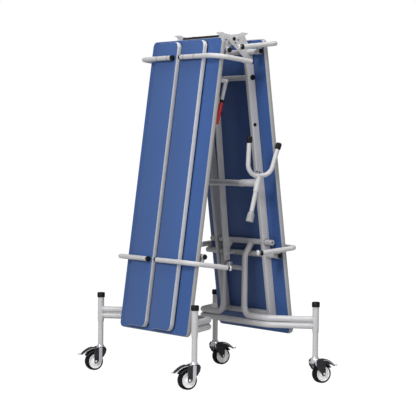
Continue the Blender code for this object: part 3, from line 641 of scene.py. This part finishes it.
def buildRail(side, end):
    place = leafPlace(side)
    put = carrier(place, f"leaf_{side}")
    sign = endSigns[side][end]
    tag = f"{end}.{side}"
    inner, outer, board = sign * rail["inner"], sign * rail["outer"], -leaf["board"]
    outline = box(board - rail["depth"], board - hairline, inner, outer, rail["corner"], 5)
    tubeShape = slab(outline, rail["start"], rail["stop"], flatLay, 0.0012)
    piece = put(f"leafRail.{tag}", tubeShape, "coat", (f"rail_{end}_{side}",))
    if side == "right":  # one hole in the outer wall, darkened by a black disc inside it as painted shade
        out, up, radius = rail["holeOut"], rail["holeUp"], rail["holeRadius"]
        cutHoles(piece, [disc(radius, -0.006, 0.006, place @ facing((out, outer, up), (0, 1, 0)), 20)])
        # black disc a hair inside the hole: painted shade for the hollow rail behind it
        shadeDiscPlace = facing((out, outer + sign * 0.0001, up), (0, sign, 0))
        put(f"railHole.{tag}", disc(radius - 0.0002, 0.0002, -0.001, shadeDiscPlace, 20), "cap")
    middle, edge = board - rail["depth"] / 2, rail["plugInset"]
    halfDepth = rail["depth"] / 2 - edge
    outline = box(middle - halfDepth, middle + halfDepth, inner + sign * edge, outer - sign * edge, 0.003, 4)
    plug = slab(outline, rail["start"] - 0.003, rail["start"] + 0.004, flatLay, 0.0012)
    button = tubePlug((rail["plugOut"], outer, rail["barUp"]), (0, sign, 0), 0.0145, 0.0035)
    put(f"railPlugs.{tag}", [plug, button], "cap")
    depth = -rail["barDepth"]
    beads = [weldBead((depth, inner, rail["barUp"]), (0, 1, 0), rail["barRadius"])]
    for up in bench["tubeUp"].values():
        for face in (inner, outer):
            beads.append(weldBead((depth, face, up), (0, 1, 0), bench["tubeRadius"]))
    put(f"railWelds.{tag}", beads, "weld", (), 60)
    thick = rail["collar"]
    profile = [(0.0153, 0), (0.0205, 0), (0.0212, thick * 0.3), (0.0205, thick), (0.0153, thick)]
    collars = []
    for face, away in ((inner, -sign), (outer, sign)):
        collars.append(lathe(profile, facing((depth, face, rail["pivotUp"]), (0, away, 0)), 32))
    put(f"pivotBushes.{tag}", collars, "band")


def buildHingePlates(side, end):
    place = leafPlace(side)
    put = carrier(place, f"leaf_{side}")
    sign = endSigns[side][end]
    tag = f"{end}.{side}"
    outside = side == "right"
    face = sign * (rail["outer"] if outside else rail["inner"])
    away = sign if outside else -sign
    far = face + away * hingePlate["thick"]
    corners = [(*hingeLocal(x, z), radius) for x, z, radius in hingePlate["outline"]]
    plate = slab(roundedOutline(corners, 5), min(face, far), max(face, far), sideLay, 0.0009)
    piece = put(f"hingePlate.{tag}", plate, "coat")
    cutters, shadeDiscs = [], []
    for x, z, radius in hingePlate["holes"]:
        out, up = hingeLocal(x, z)
        # a black disc inside each hole: painted shade in the hole
        shadeDiscPlace = facing((out, far - away * 0.0013, up), (0, away, 0))
        shadeDiscs.append(disc(radius - 0.0002, 0.001, -0.001, shadeDiscPlace, 18))
        cutters.append(disc(radius, -0.02, 0.02, place @ facing((out, face, up), (0, 1, 0)), 18))
    cutHoles(piece, cutters)
    put(f"hingePlateHoles.{tag}", shadeDiscs, "cap")
    out, up = hingeLocal(*hingePlate["bolt"])
    screw = socketScrew((out, far, up), (0, away, 0), "hinge")
    put(f"hingeScrew.{tag}", screw, "bolt")
    profile = [(0.004, 0.0), (0.0094, 0.0), (0.0094, 0.0010), (0.004, 0.0010)]
    washer = lathe(profile, facing((out, far, up), (0, away, 0)), 24)
    put(f"hingeWasher.{tag}", washer, "cap")
    if outside:
        return
    inner = sign * (rail["inner"] - hingePlate["thick"])
    near, low = sign * hairline, inner - sign * 0.001
    high = sign * (rail["outer"] + hingePlate["thick"] + 0.0008)
    pin = sweepTube([(hingeOut, low, hingeUp), (hingeOut, high, hingeUp)], hingePlate["pinRadius"], 24)
    put(f"hingePin.{tag}", pin, "zinc")
    half = sweepTube([(hingeOut, near, hingeUp), (hingeOut, inner, hingeUp)], hingePlate["tubeRadius"])
    # darker grey than the rest of the frame
    put(f"hingeTube.{tag}", half, "darkCoat")
    strip = roundedOutline([(*hingeLocal(x, z), 0.002) for x, z in hingePlate["cover"]], 3)
    cover = slab(strip, min(near, inner), max(near, inner), sideLay, 0.0008)
    put(f"hingeCover.{tag}", cover, "cover")
    profile = [(0, 0.0012), (0.0058, 0.0014), (0.0082, 0.0022), (0.0092, 0.0014), (0.0094, 0), (0, 0)]
    eye = lathe(profile, facing((hingeOut, high, hingeUp), (0, sign, 0)), 28)
    put(f"hingePinEye.{tag}", eye, "cap")


def buildCrossBars(side):
    put = carrier(leafPlace(side), f"leaf_{side}")
    reach = rail["inner"]
    depth = -rail["barDepth"]
    upper = crossTube(depth, reach, rail["barUp"], rail["barRadius"])
    put(f"upperBar.{side}", upper, "coat", (f"upper_bar_{side}",))
    board = -leaf["board"]
    low, high = rail["start"], rail["start"] + rail["endWidth"]
    outline = roundedOutline([
        (board - rail["endDepth"], low, 0.004), (board - hairline, low, 0.003),
        (board - hairline, high, 0.003), (board - rail["endDepth"], high, 0.004)], 5)
    endBar = slab(outline, -reach, reach, sideLay, 0.0006)
    put(f"endBar.{side}", endBar, "coat", (f"end_bar_{side}",))
    # flat strut on edge, from the upper bar to a standoff on the lower bench tube
    foot = bench["tubeUp"]["lower"]
    slope = rail["standoff"] / (rail["barUp"] - foot)
    half, aside, deep = rail["flatWide"] / 2, rail["flatAside"], rail["flatDepth"]
    ends = (rail["flatLow"], rail["flatHigh"])
    flatOut = rail["flatOut"]
    back = [(flatOut - slope * (rail["barUp"] - up), up, 0.0012) for up in ends]
    front = [(out - deep, up, rounding) for out, up, rounding in reversed(back)]
    flat = slab(roundedOutline(back + front, 3), aside - half, aside + half, sideLay, 0.0014, 3)
    farOut = flatOut - rail["standoff"] - deep / 2
    standoff = sweepTube([(farOut, aside, foot), (flatOut + 0.004, aside, foot)], rail["standoffRadius"], 24)
    put(f"stiffener.{side}", [flat, standoff], "coat", (f"stiffener_{side}",))
    screws = []
    for up in (foot, rail["barUp"]):
        level = flatOut - slope * (rail["barUp"] - up) - deep / 2
        for way in (-1, 1):
            screws.append(socketScrew((level, aside + way * half, up), (0, way, 0), "strut"))
    for sign in (-1, 1):
        for share in (0.2, 0.8):
            screws.append(socketScrew(
                (board - rail["endDepth"], sign * reach * share, rail["start"] + rail["endWidth"] / 2),
                (-1, 0, 0), "board"))
    put(f"boardScrews.{side}", screws, "bolt")


# yokes on the right leaf's cross shaft

yoke = {
    "up": 0.795, "depth": 0.150, "radius": 0.0165, "plane": 0.389, "prongRadius": 0.0115, "bend": 0.060,
    "corners": [(-0.021, 0.241), (-0.056, 0.033), (0.081, 0.040), (0.150, 0.188)],
    "crotch": 0.041, "stemLean": math.radians(20.0), "stem": 0.146, "foot": 0.052, "footRadius": 0.0190,
    "sleeveRadius": 0.0148, "sleeve": 0.042, "hanger": 0.002, "hangerRoot": 0.010,
    "capLength": 0.031, "capWall": 0.0034, "hangerScrews": [(-0.0639, 0.8450), (-0.0495, 0.8387)],
}


def buildYokes():
    side = "right"
    place = leafPlace(side) @ Matrix.Translation((-yoke["depth"], 0, yoke["up"]))
    put = carrier(place, "yokes")
    stemWay = Vector((math.sin(yoke["stemLean"]), 0, math.cos(yoke["stemLean"])))
    radius = yoke["prongRadius"]
    parts = [crossTube(0, yoke["plane"], 0, yoke["radius"], 32, 0.002)]
    caps, feet, beads = [], [], []
    for sign in (-1, 1):
        middle = Vector((0, sign * yoke["plane"], 0))
        crotch = middle + stemWay * yoke["crotch"]
        corners = [middle + Vector((out, 0, up)) for out, up in yoke["corners"]]
        parts.append(sweepTube(roundedPath(corners, yoke["bend"], 18), radius))
        heel = middle - stemWay * yoke["stem"]
        parts.append(sweepTube([crotch, heel], radius))
        parts.append(sweepTube([
            crotch - stemWay * 0.004, middle + stemWay * 0.012, middle - stemWay * yoke["sleeve"]],
            yoke["sleeveRadius"]))
        for tip, root in ((corners[0], corners[1]), (corners[3], corners[2])):
            caps.append(sleeveCap(tip, tip - root, radius, yoke["capLength"], yoke["capWall"]))
        size = yoke["footRadius"]
        profile = [(0, -0.004), (radius + 0.0010, -0.004), (radius + 0.0014, 0.002), (size - 0.0022, 0.011)]
        for ridge in range(5):  # ribbed rubber foot, a little wider at the floor end
            level = 0.013 + ridge * 0.007
            wide = size - 0.0014 + 0.0003 * ridge
            crest = wide + 0.0008
            profile += [(wide, level), (crest, level + 0.001)]
            profile += [(crest, level + 0.0046), (wide, level + 0.0056)]
        profile += [(size + 0.0010, yoke["foot"] - 0.0025), (size - 0.0012, yoke["foot"]), (0, yoke["foot"])]
        feet.append(lathe(profile, facing(heel, -stemWay), 32))
        beads.append(weldBead(crotch + stemWay * 0.001, stemWay, radius + 0.001, 0.003))
        beads.append(weldBead(middle, (0, 1, 0), yoke["radius"] - 0.0005, 0.0026))
    put("yokeShaft", parts, "coat", ("yoke_shaft",))
    put("yokeCaps", caps, "cap")
    put("yokeFeet", feet, "band")
    put("yokeWelds", beads, "weld", (), 60)
    buildHangers(carrier(leafPlace(side), f"leaf_{side}"))


def buildHangers(put):
    plates, screws = [], []
    root = -leaf["board"] - rail["depth"] / 2
    eye = yoke["radius"] + yoke["hanger"]
    outline = capsule((-yoke["depth"], yoke["up"]), (root, yoke["up"]), eye, yoke["hangerRoot"])
    for sign in (-1, 1):
        middle = sign * (rail["inner"] + rail["outer"]) / 2
        plates.append(slab(outline, middle - 0.005, middle + 0.005, sideLay, 0.001))
        for out, up in yoke["hangerScrews"]:
            screws.append(socketScrew((out, sign * rail["outer"], up), (0, sign, 0), "hanger"))
    put("shaftHangers", plates, "coat")
    put("hangerScrews", screws, "cap")


# lock lever on the left leaf's front rail

lever = {
    "up": 1.315, "length": 0.220, "slant": 0.023, "stand": 0.056, "thick": 0.012, "radius": 0.010,
    "barShare": 0.46, "gripStart": 0.49, "knobShare": 0.74, "ear": 0.005,
}


def buildLever():
    side = "left"
    sign = endSigns[side]["front"]
    across = sign * (rail["inner"] + rail["outer"]) / 2
    out = -leaf["board"] - rail["depth"] - lever["stand"]
    base = leafPlace(side)
    put = carrier(base @ Matrix.Translation((out, across, lever["up"])), "lock")
    putOnLeaf = carrier(base, f"leaf_{side}")
    end = Vector((lever["slant"], 0, -lever["length"]))
    way = end.normalized()
    half = lever["thick"] / 2
    stop = end * lever["barShare"]
    outline = capsule((0, 0), (stop.x, stop.z), lever["radius"], lever["radius"] * 0.8)
    bar = slab(outline, -half, half, sideLay, 0.0015)
    put("lockLever", bar, "coat", ("lock_lever",))
    rows = 26
    gripFrom = end * lever["gripStart"]
    points, radii = [], []
    for row in range(rows + 1):
        share = row / rows
        points.append(gripFrom.lerp(end + way * lever["radius"] * 0.6, share))
        swell = 0.0088 + 0.0026 * math.sin(math.pi * share) ** 0.7
        ribs = 0.0006 * math.sin(2 * math.pi * share * 7)
        radii.append(swell + ribs if 0.05 < share < 0.95 else swell - 0.001)
    put("leverGrip", sweepTube(points, radii, 28, 0.002), "grip")
    collar = sweepTube([stop - way * 0.004, gripFrom + way * 0.002], 0.0098, 26, 0.0016)
    knobAt = end * lever["knobShare"]
    knob = lathe([
        (0, 0.0165), (0.0035, 0.0162), (0.0062, 0.0145), (0.0074, 0.0115), (0.0070, 0.0085), (0.0045, 0.0065),
        (0.0038, 0.0), (0, 0)], facing(knobAt, (-1, 0, -0.2)), 28)
    put("leverKnob", [collar, knob], "cap")
    root = -leaf["board"] - rail["depth"] / 2
    ears, pins = [], []
    outline = capsule((out, lever["up"]), (root, lever["up"]), lever["radius"], lever["radius"])
    for low in (-half - hairline - lever["ear"], half + hairline):
        ears.append(slab(outline, across + low, across + low + lever["ear"], sideLay, 0.001))
    putOnLeaf("leverEars", ears, "coat")
    reach = half + lever["ear"] + hairline
    for away in (-1, 1):
        headAt = (out, across + away * reach, lever["up"])
        pins.append(socketScrew(headAt, (0, away, 0), "lever"))
    putOnLeaf("leverPin", pins, "zinc")


# castor frames

stand = {
    "pivotX": 0.21243, "pivotZ": 0.70913, "legOut": 0.141, "legHalf": 0.511, "legRadius": 0.0166,
    "footRadius": 0.0142, "legStep": 0.262, "legBottom": 0.135, "legTop": 0.402, "capTop": 0.416,
    "capSkirt": 0.027, "capWall": 0.0038, "bowHeight": 0.292, "runHeight": 0.3248, "bowBend": 0.080,
    "bowCorner": 0.335, "riserOut": 0.043, "riserHalf": 0.108, "riserBend": 0.055, "leanStart": 0.075,
    "leanShare": 0.91, "barDrop": 0.141, "barRadius": 0.0125, "tubeRadius": 0.0160, "pivotRadius": 0.0145,
    "pivotHalf": 0.310, "holeRadius": 0.006, "clipAt": 0.040, "clipHalf": 0.009, "clipBolt": (0.0088, 0.0075),
    "clipEar": [(-0.016, 0.004, 0.004), (-0.016, 0.026, 0.008), (0.004, 0.026, 0.008), (0.006, 0.004, 0.004)],
}


def framePlace(side):
    sign = 1 if side == "right" else -1
    return Matrix.Translation((sign * stand["pivotX"], 0, 0)) @ Matrix.Rotation(turns[side], 4, "Z")


def legShape(across):
    radius, foot, step = stand["legRadius"], stand["footRadius"], stand["legStep"]
    bottom, top = stand["legBottom"], stand["legTop"]
    profile = [
        (0, bottom), (foot, bottom), (foot, step - 0.009), (foot + 0.0004, step - 0.006),
        (radius - 0.0006, step - 0.0015), (radius, step + 0.002), (radius, top), (0, top)]
    return lathe(profile, Matrix.Translation((stand["legOut"], across, 0)), 36)


def legCapShape(across):
    radius, top, legTop = stand["legRadius"], stand["capTop"], stand["legTop"] + 0.001
    outer, inner, bottom = radius + stand["capWall"], radius + 0.0004, top - stand["capSkirt"]
    return lathe([
        (0, top), (outer * 0.72, top - 0.0004), (outer * 0.93, top - 0.002), (outer, top - 0.005),
        (outer, bottom + 0.0012), (outer - 0.001, bottom), (inner, bottom), (inner, legTop), (0, legTop),
    ], Matrix.Translation((stand["legOut"], across, 0)), 36)


def clipShapes(riser, height):  # bolted clip on the riser bar, below the strut
    ring, at, half = stand["barRadius"], stand["clipAt"], stand["clipHalf"]
    profile = [(ring, -half), (ring + 0.0024, -half), (ring + 0.0030, 0), (ring + 0.0024, half), (ring, half)]
    shapes = [lathe(profile, facing((riser, at, height), (0, 1, 0)), 30)]
    for sign in (-1, 1):
        boltAt = (riser - 0.006, at + sign * 0.010, height + 0.016)
        shapes.append(hexBolt(boltAt, (0, sign, 0), *stand["clipBolt"]))
    ear = roundedOutline([(riser + x, height + z, radius) for x, z, radius in stand["clipEar"]], 5)
    for low in (-half, half - 0.003):
        shapes.append(slab(ear, at + low, at + low + 0.003, sideLay, 0.0007))
    return shapes


def buildFrame(side):
    place = framePlace(side)
    put = carrier(place, f"castor_frame_{side}")
    pivotZ, tube, half, hole = stand["pivotZ"], stand["tubeRadius"], stand["pivotHalf"], stand["holeRadius"]
    pivotTube = crossTube(0, half, pivotZ, stand["pivotRadius"], 32, 0.0022)
    piece = put(f"pivotTube.{side}", pivotTube, "coat", (f"pivot_tube_{side}",))
    bores, shadeDiscs = [], []
    for sign in (-1, 1):
        bores.append(disc(hole, -0.014, 0.02, place @ facing((0, sign * half, pivotZ), (0, sign, 0)), 24))
        # a black disc at the bottom of each bore: painted shade
        shadeDiscPlace = facing((0, sign * (half - 0.013), pivotZ), (0, sign, 0))
        shadeDiscs.append(disc(hole - 0.0003, 0.0004, -0.001, shadeDiscPlace, 20))
    cutHoles(piece, bores)
    put(f"pivotWells.{side}", shadeDiscs, "cap")

    out, legHalf, riser, reach = stand["legOut"], stand["legHalf"], -stand["riserOut"], stand["riserHalf"]
    corner, bow, run, bend = stand["bowCorner"], stand["bowHeight"], stand["runHeight"], stand["bowBend"]
    height = pivotZ - stand["barDrop"]
    bowCorners = [(out, -legHalf, bow), (riser, -corner, bow), (riser, corner, bow), (out, legHalf, bow)]
    parts = [sweepTube(roundedPath(bowCorners, bend, 12), tube)]
    lean = Vector((-riser, 0, stand["leanStart"])).normalized()
    beads = []
    for end, sign in endSigns[side].items():
        tag, aside = f"{end}.{side}", sign * reach
        parts.append(legShape(sign * legHalf))
        cap = legCapShape(sign * legHalf)
        put(f"legCap.{tag}", cap, "cap", (f"leg_cap_{end}_{side}",))
        runCorners = [(out, sign * legHalf, run), (riser, sign * corner, run), (riser, aside, run)]
        runPath = roundedPath(runCorners, bend, 12)
        leanFoot = Vector((riser, aside, pivotZ - stand["leanStart"]))
        leanTop = leanFoot.lerp(Vector((0, aside, pivotZ)), stand["leanShare"])
        risePath = roundedPath([runPath[-2], (riser, aside, run), leanFoot, leanTop], stand["riserBend"], 12)
        upright = sweepTube(runPath[:-1] + risePath[1:], tube)
        put(f"upright.{tag}", upright, "coat", (f"upright_{end}_{side}",))
        inwards = Vector((riser - out, sign * (corner - legHalf), 0)).normalized()
        for level in (bow, run):
            foot = Vector((out, sign * legHalf, level)) + inwards * (stand["legRadius"] * 0.93)
            beads.append(weldBead(foot, inwards, tube, 0.0026))
        top = Vector((0, aside, pivotZ)) - lean * stand["pivotRadius"] * 0.95
        beads.append(weldBead(top, lean, tube, 0.0026))
        beads.append(weldBead((riser, aside - sign * tube * 0.93, height), (0, 1, 0), stand["barRadius"]))
    put(f"castorBow.{side}", parts, "coat", (f"base_{side}",))
    put(f"frameWelds.{side}", beads, "weld", (), 60)
    bar = crossTube(riser, reach, height, stand["barRadius"])
    put(f"riserBar.{side}", bar, "coat", (f"riser_bar_{side}",))
    put(f"riserClip.{side}", clipShapes(riser, height), "bolt")


# castors

castor = {
    "radius": 0.048, "width": 0.038, "trail": 0.039, "rimRadius": 0.0384, "hub": 0.0125, "forkInner": 0.022,
    "cheek": 0.003, "headRadius": 0.024, "headBottom": 0.108, "pedalOut": 0.034, "pedalUp": 0.109,
    "pedalHalf": 0.017,
}


def castorPlace(side, end):
    sign = endSigns[side][end]
    return framePlace(side) @ Matrix.Translation((stand["legOut"], sign * stand["legHalf"], 0))


def buildFork(place, tag, name):
    put = carrier(place, f"castor_{name}")
    radius, bottom = castor["headRadius"], castor["headBottom"]
    foot = stand["footRadius"]
    head = lathe([
        (0, bottom), (radius - 0.004, bottom), (radius - 0.0008, bottom + 0.002), (radius, bottom + 0.006),
        (radius, bottom + 0.0125), (radius - 0.0018, bottom + 0.0150), (radius - 0.0030, bottom + 0.0160),
        (radius - 0.0030, bottom + 0.0180), (radius - 0.0050, bottom + 0.0215),
        (foot + 0.0030, bottom + 0.0245), (foot + 0.0022, stand["legBottom"]), (0, stand["legBottom"]),
    ], Matrix(), 40)
    axle = Vector((castor["trail"], castor["radius"]))
    inner, outer = castor["forkInner"], castor["forkInner"] + castor["cheek"]
    # folded sheet: a back that joins the cheeks, and a cheek down to the axle on each side
    back = roundedOutline([
        (-0.0245, 0.102, 0.001), (-0.0220, 0.102, 0.001), (-0.0205, bottom, 0.002),
        (0.030, bottom - 0.001, 0.001), (0.030, bottom + 0.004, 0.001), (-0.0235, bottom + 0.004, 0.006)], 4)
    shapes = [head, slab(back, -inner - 0.001, inner + 0.001, sideLay, 0.0008)]
    cheek = roundedOutline([
        (-0.0140, bottom + 0.004, 0.004), (-0.0130, 0.100, 0.006), (0.004, 0.072, 0.012),
        (axle.x - 0.010, axle.y - 0.009, 0.008), (axle.x + 0.009, axle.y - 0.009, 0.008),
        (axle.x + 0.009, 0.096, 0.008), (0.030, bottom + 0.004, 0.006)], 6)
    for sign in (-1, 1):
        low, high = sorted((sign * inner, sign * outer))
        shapes.append(slab(cheek, low, high, sideLay, 0.0008))
    strip = roundedOutline([
        (0.0030, 0.121, 0.003), (0.0040, 0.050, 0.005), (0.0170, 0.043, 0.004), (0.0225, 0.050, 0.004),
        (0.0225, 0.121, 0.003)], 5)
    shapes.append(slab(strip, outer - 0.0005, outer + 0.0046, sideLay, 0.0012, 3))
    put(f"castorFork.{tag}", shapes, "zinc", (f"fork_{name}",))

    # moulded brake housing: a fender over the wheel and a wall on each side of it
    above, below = [], []
    for step in range(17):
        angle = math.radians(34 + 84 * step / 16)
        way = Vector((math.cos(angle), math.sin(angle)))
        above.append(axle + way * (0.0562 + 0.007 * (step / 16) ** 2))
        below.append(axle + way * 0.0512)
    covers = [slab(above + below[::-1], -inner + 0.0005, inner - 0.0005, sideLay, 0.001)]
    wallPlain = roundedOutline([
        (-0.0035, 0.070, 0.006), (-0.0185, 0.092, 0.010), (-0.0225, 0.112, 0.008), (-0.0150, 0.125, 0.006),
        (0.026, 0.123, 0.006), (0.0475, 0.112, 0.008), (0.0495, 0.056, 0.010), (0.0470, 0.0375, 0.008),
        (0.0330, 0.0375, 0.008), (0.0225, 0.052, 0.006), (0.0120, 0.066, 0.010)], 6)
    covers.append(slab(wallPlain, outer - 0.0004, outer + 0.0034, sideLay, 0.0013, 3))
    wallBrake = roundedOutline([
        (-0.0060, 0.082, 0.008), (-0.0070, 0.116, 0.008), (0.008, 0.128, 0.006), (0.026, 0.122, 0.010),
        (0.0470, 0.112, 0.008), (0.0485, 0.056, 0.010), (0.0470, 0.0375, 0.008), (0.0310, 0.0375, 0.008),
        (0.0240, 0.050, 0.006), (0.0080, 0.066, 0.008)], 6)
    covers.append(slab(wallBrake, -outer - 0.0034, -outer + 0.0004, sideLay, 0.0013, 3))
    ridge = roundedOutline([
        (0.0100, 0.070, 0.004), (0.0100, 0.112, 0.004), (0.0400, 0.112, 0.006), (0.0400, 0.062, 0.005)], 5)
    covers.append(slab(ridge, -outer - 0.0044, -outer - 0.0030, sideLay, 0.0007))
    put(f"brakeHousing.{tag}", covers, "cover")
    bolts = [crossTube(axle.x, inner, axle.y, 0.0049, 20, 0.0005)]
    for sign in (-1, 1):
        face = sign * (outer + 0.0034)
        bolts.append(socketScrew((axle.x, face, axle.y), (0, sign, 0), "axle"))
    put(f"axleBolt.{tag}", bolts, "bolt")


def buildWheel(place, tag, name):
    put = carrier(Matrix(), f"wheel_{name}")
    half, radius, rimEdge = castor["width"] / 2, castor["radius"], castor["rimRadius"]
    spin = place @ Matrix.Translation((castor["trail"], 0, radius)) @ Matrix.Rotation(math.pi / 2, 4, "X")
    tread = []
    for share in range(-6, 7):  # gently crowned tread with round shoulders
        angle = share / 6
        tread.append((radius - 0.0022 * abs(angle) ** 5, angle * (half - 0.0012)))
    wall = [(0.0375, half - 0.002), (rimEdge - 0.0004, half), (rimEdge + 0.002, half + 0.0002)]
    tyre = lathe([(out, -level) for out, level in wall] + tread + wall[::-1], spin, 64)
    put(f"wheelTyre.{tag}", tyre, "tyre", (f"tyre_{name}",), 50)
    hub, dish = castor["hub"], 0.0045
    face = [
        (0.0054, half + 0.0006), (hub - 0.0016, half + 0.0006), (hub, half - 0.0006),
        (hub + 0.0008, half - dish), (rimEdge - 0.0075, half - dish + 0.0008),
        (rimEdge - 0.0050, half - 0.0006), (rimEdge - 0.0016, half + 0.0002),
        (rimEdge - 0.0004, half - 0.0006)]
    rim = lathe([(out, -level) for out, level in face[::-1]] + face, spin, 64)
    put(f"wheelRim.{tag}", rim, "rim", (f"rim_{name}",), 40)


def buildPedal(place, tag, name):
    seat = place @ Matrix.Translation((castor["pedalOut"], 0, castor["pedalUp"]))
    put = carrier(seat, f"brake_{name}")
    half = castor["pedalHalf"]

    def width(out):  # half width, less towards the toe
        return half * (1.0 - 0.30 * (max(out, 0) / 0.080) ** 2)

    crest = [
        (-0.004, 0.0100), (0.006, 0.0142), (0.018, 0.0150), (0.032, 0.0115),
        (0.046, 0.0052), (0.060, -0.0035), (0.072, -0.0125), (0.080, -0.0195)]
    under = [(out, up - 0.0068 + 0.0012 * index / 7) for index, (out, up) in enumerate(crest)]
    eased = ((-1.0, 0.0012), (-0.94, 0.0004), (-0.80, 0.0), (0.80, 0.0), (0.94, 0.0004), (1.0, 0.0012))
    shape = bmesh.new()
    rows = []
    for across, ease in eased:
        points = [(out, up - ease) for out, up in crest] + [(out, up + ease) for out, up in under[::-1]]
        rows.append([shape.verts.new((out, across * width(out), up)) for out, up in points])
    skin(shape, rows)
    shape.faces.new(rows[0])
    shape.faces.new(rows[-1])
    skirt = roundedOutline([
        (0.012, 0.010, 0.003), (0.030, 0.008, 0.006), (0.058, -0.006, 0.008), (0.077, -0.019, 0.002),
        (0.056, -0.0165, 0.006), (0.034, -0.0150, 0.006), (0.014, -0.004, 0.006)], 5)
    parts = [shape, slab(skirt, -half * 0.86, -half * 0.86 + 0.0045, sideLay, 0.0012)]
    for out, up in ((0.050, 0.0030), (0.056, -0.0008), (0.062, -0.0048), (0.068, -0.0094)):  # grip ribs
        parts.append(crossTube(out, width(out) * 0.8, up, 0.0011, 10, 0.0003))
    parts.append(crossTube(0, half, 0, 0.0062, 24, 0.0008))
    put(f"brakePedal.{tag}", parts, "cover", (f"pedal_{name}",), 45)
    profile = [
        (0, 0.0270), (0.0032, 0.0262), (0.0048, 0.0225), (0.0048, 0.0180),
        (0.0024, 0.0140), (0.0020, 0), (0, 0)]
    edges = [lathe(profile, facing((0.0745, 0, -0.0195), (1, 0, -0.02)), 20)]
    for sign in (-1, 1):  # bright sheet edge below the cover
        edge = [(out, sign * (width(out) + 0.0002), up - 0.0066) for out, up in crest[1:7]]
        edges.append(sweepTube(edge, 0.0017, 10, 0.0003))
    put(f"pedalToe.{tag}", edges, "bolt")


for side in turns:
    buildTop(side)
    buildCrossBars(side)
    buildBenchTubes(side)
    for end in endSigns[side]:
        buildRail(side, end)
        buildHingePlates(side, end)
        buildBench(side, end)
    print("leaf and benches made:", side)
buildYokes()
buildLever()
print("yokes and lever made")
for side in turns:
    buildFrame(side)
    for end in endSigns[side]:
        at, tag, name = castorPlace(side, end), f"{end}.{side}", f"{end}_{side}"
        buildFork(at, tag, name)
        buildWheel(at, tag, name)
        buildPedal(at, tag, name)
    print("castor frame made:", side)


# studio

studio = {"floorHalf": 60.0, "floorShade": 0.58, "sky": 0.29, "key": 1410.0, "fill": 255.0, "top": 260.0}


def buildFloor():
    half = studio["floorHalf"]
    shape = bmesh.new()
    bmesh.ops.create_grid(shape, x_segments=8, y_segments=8, size=half)
    mesh = bpy.data.meshes.new("paleFloor")
    shape.to_mesh(mesh)
    shape.free()
    floor = bpy.data.objects.new("paleFloor", mesh)
    bpy.context.scene.collection.objects.link(floor)
    made = Finish("paleFloorFinish", Roughness=0.9, Emission_Strength=1.0)
    seen = made.node("ShaderNodeLightPath", output="Is Camera Ray")  # white to look at, softer as a bounce
    shade = (studio["floorShade"],) * 3 + (1.0,)
    made.feed("Base Color", made.mix(seen, shade, (0, 0, 0, 1)))
    made.feed("Emission Color", made.mix(seen, (0, 0, 0, 1), (1, 1, 1, 1)))
    mesh.materials.append(made.material)


def buildLights():
    world = bpy.data.worlds.new("studioSky")
    bpy.context.scene.world = world
    world.use_nodes = True
    tree = world.node_tree
    sky = tree.nodes["Background"]
    sky.inputs["Color"].default_value = (1.0, 1.0, 1.0, 1.0)
    sky.inputs["Strength"].default_value = studio["sky"]
    paper = tree.nodes.new("ShaderNodeBackground")  # the white backdrop itself
    paper.inputs["Color"].default_value = (1.0, 1.0, 1.0, 1.0)
    path = tree.nodes.new("ShaderNodeLightPath")
    blend = tree.nodes.new("ShaderNodeMixShader")
    tree.links.new(path.outputs["Is Camera Ray"], blend.inputs[0])
    tree.links.new(sky.outputs[0], blend.inputs[1])
    tree.links.new(paper.outputs[0], blend.inputs[2])
    tree.links.new(blend.outputs[0], tree.nodes["World Output"].inputs["Surface"])
    bpy.context.scene.view_settings.view_transform = "Standard"
    for name, place, aim, size, power in (
        ("keyLight", (-11.6, -5.4, 8.5), (0, 0, 0.9), 5.0, studio["key"]),
        ("frontLight", (-1.5, -11.0, 2.2), (0, 0, 0.9), 6.5, studio["fill"]),
        ("topLight", (-0.5, -1.5, 6.5), (0, 0, 0.9), 4.0, studio["top"]),
    ):
        lamp = bpy.data.lights.new(name, "AREA")
        lamp.energy = power
        lamp.size = size
        holder = bpy.data.objects.new(name, lamp)
        bpy.context.scene.collection.objects.link(holder)
        way = Vector(aim) - Vector(place)
        holder.matrix_world = Matrix.Translation(place) @ way.to_track_quat("-Z", "Y").to_matrix().to_4x4()


view = {
    "place": (-5.4615, -9.558, 1.1716), "yaw": math.radians(29.77), "pitch": math.radians(1.52),
    "roll": math.radians(0.71), "focalPixels": 2112.0, "framePixels": 416.0, "sensor": 36.0,
}


def buildCamera():
    yaw, pitch, roll = view["yaw"], view["pitch"], view["roll"]
    ahead = Vector((math.sin(yaw) * math.cos(pitch), math.cos(yaw) * math.cos(pitch), -math.sin(pitch)))
    right = Vector((math.cos(yaw), -math.sin(yaw), 0))
    up = right.cross(ahead)
    across = right * math.cos(roll) + up * math.sin(roll)
    above = up * math.cos(roll) - right * math.sin(roll)
    lens = bpy.data.cameras.new("photoCamera")
    lens.sensor_width = view["sensor"]
    lens.lens = view["focalPixels"] / view["framePixels"] * view["sensor"]
    lens.clip_end = 200.0
    camera = bpy.data.objects.new("photoCamera", lens)
    bpy.context.scene.collection.objects.link(camera)
    turn = Matrix((across, above, -ahead)).transposed().to_4x4()
    camera.matrix_world = Matrix.Translation(view["place"]) @ turn
    bpy.context.scene.camera = camera


buildFloor()
buildLights()
buildCamera()
print("studio made")
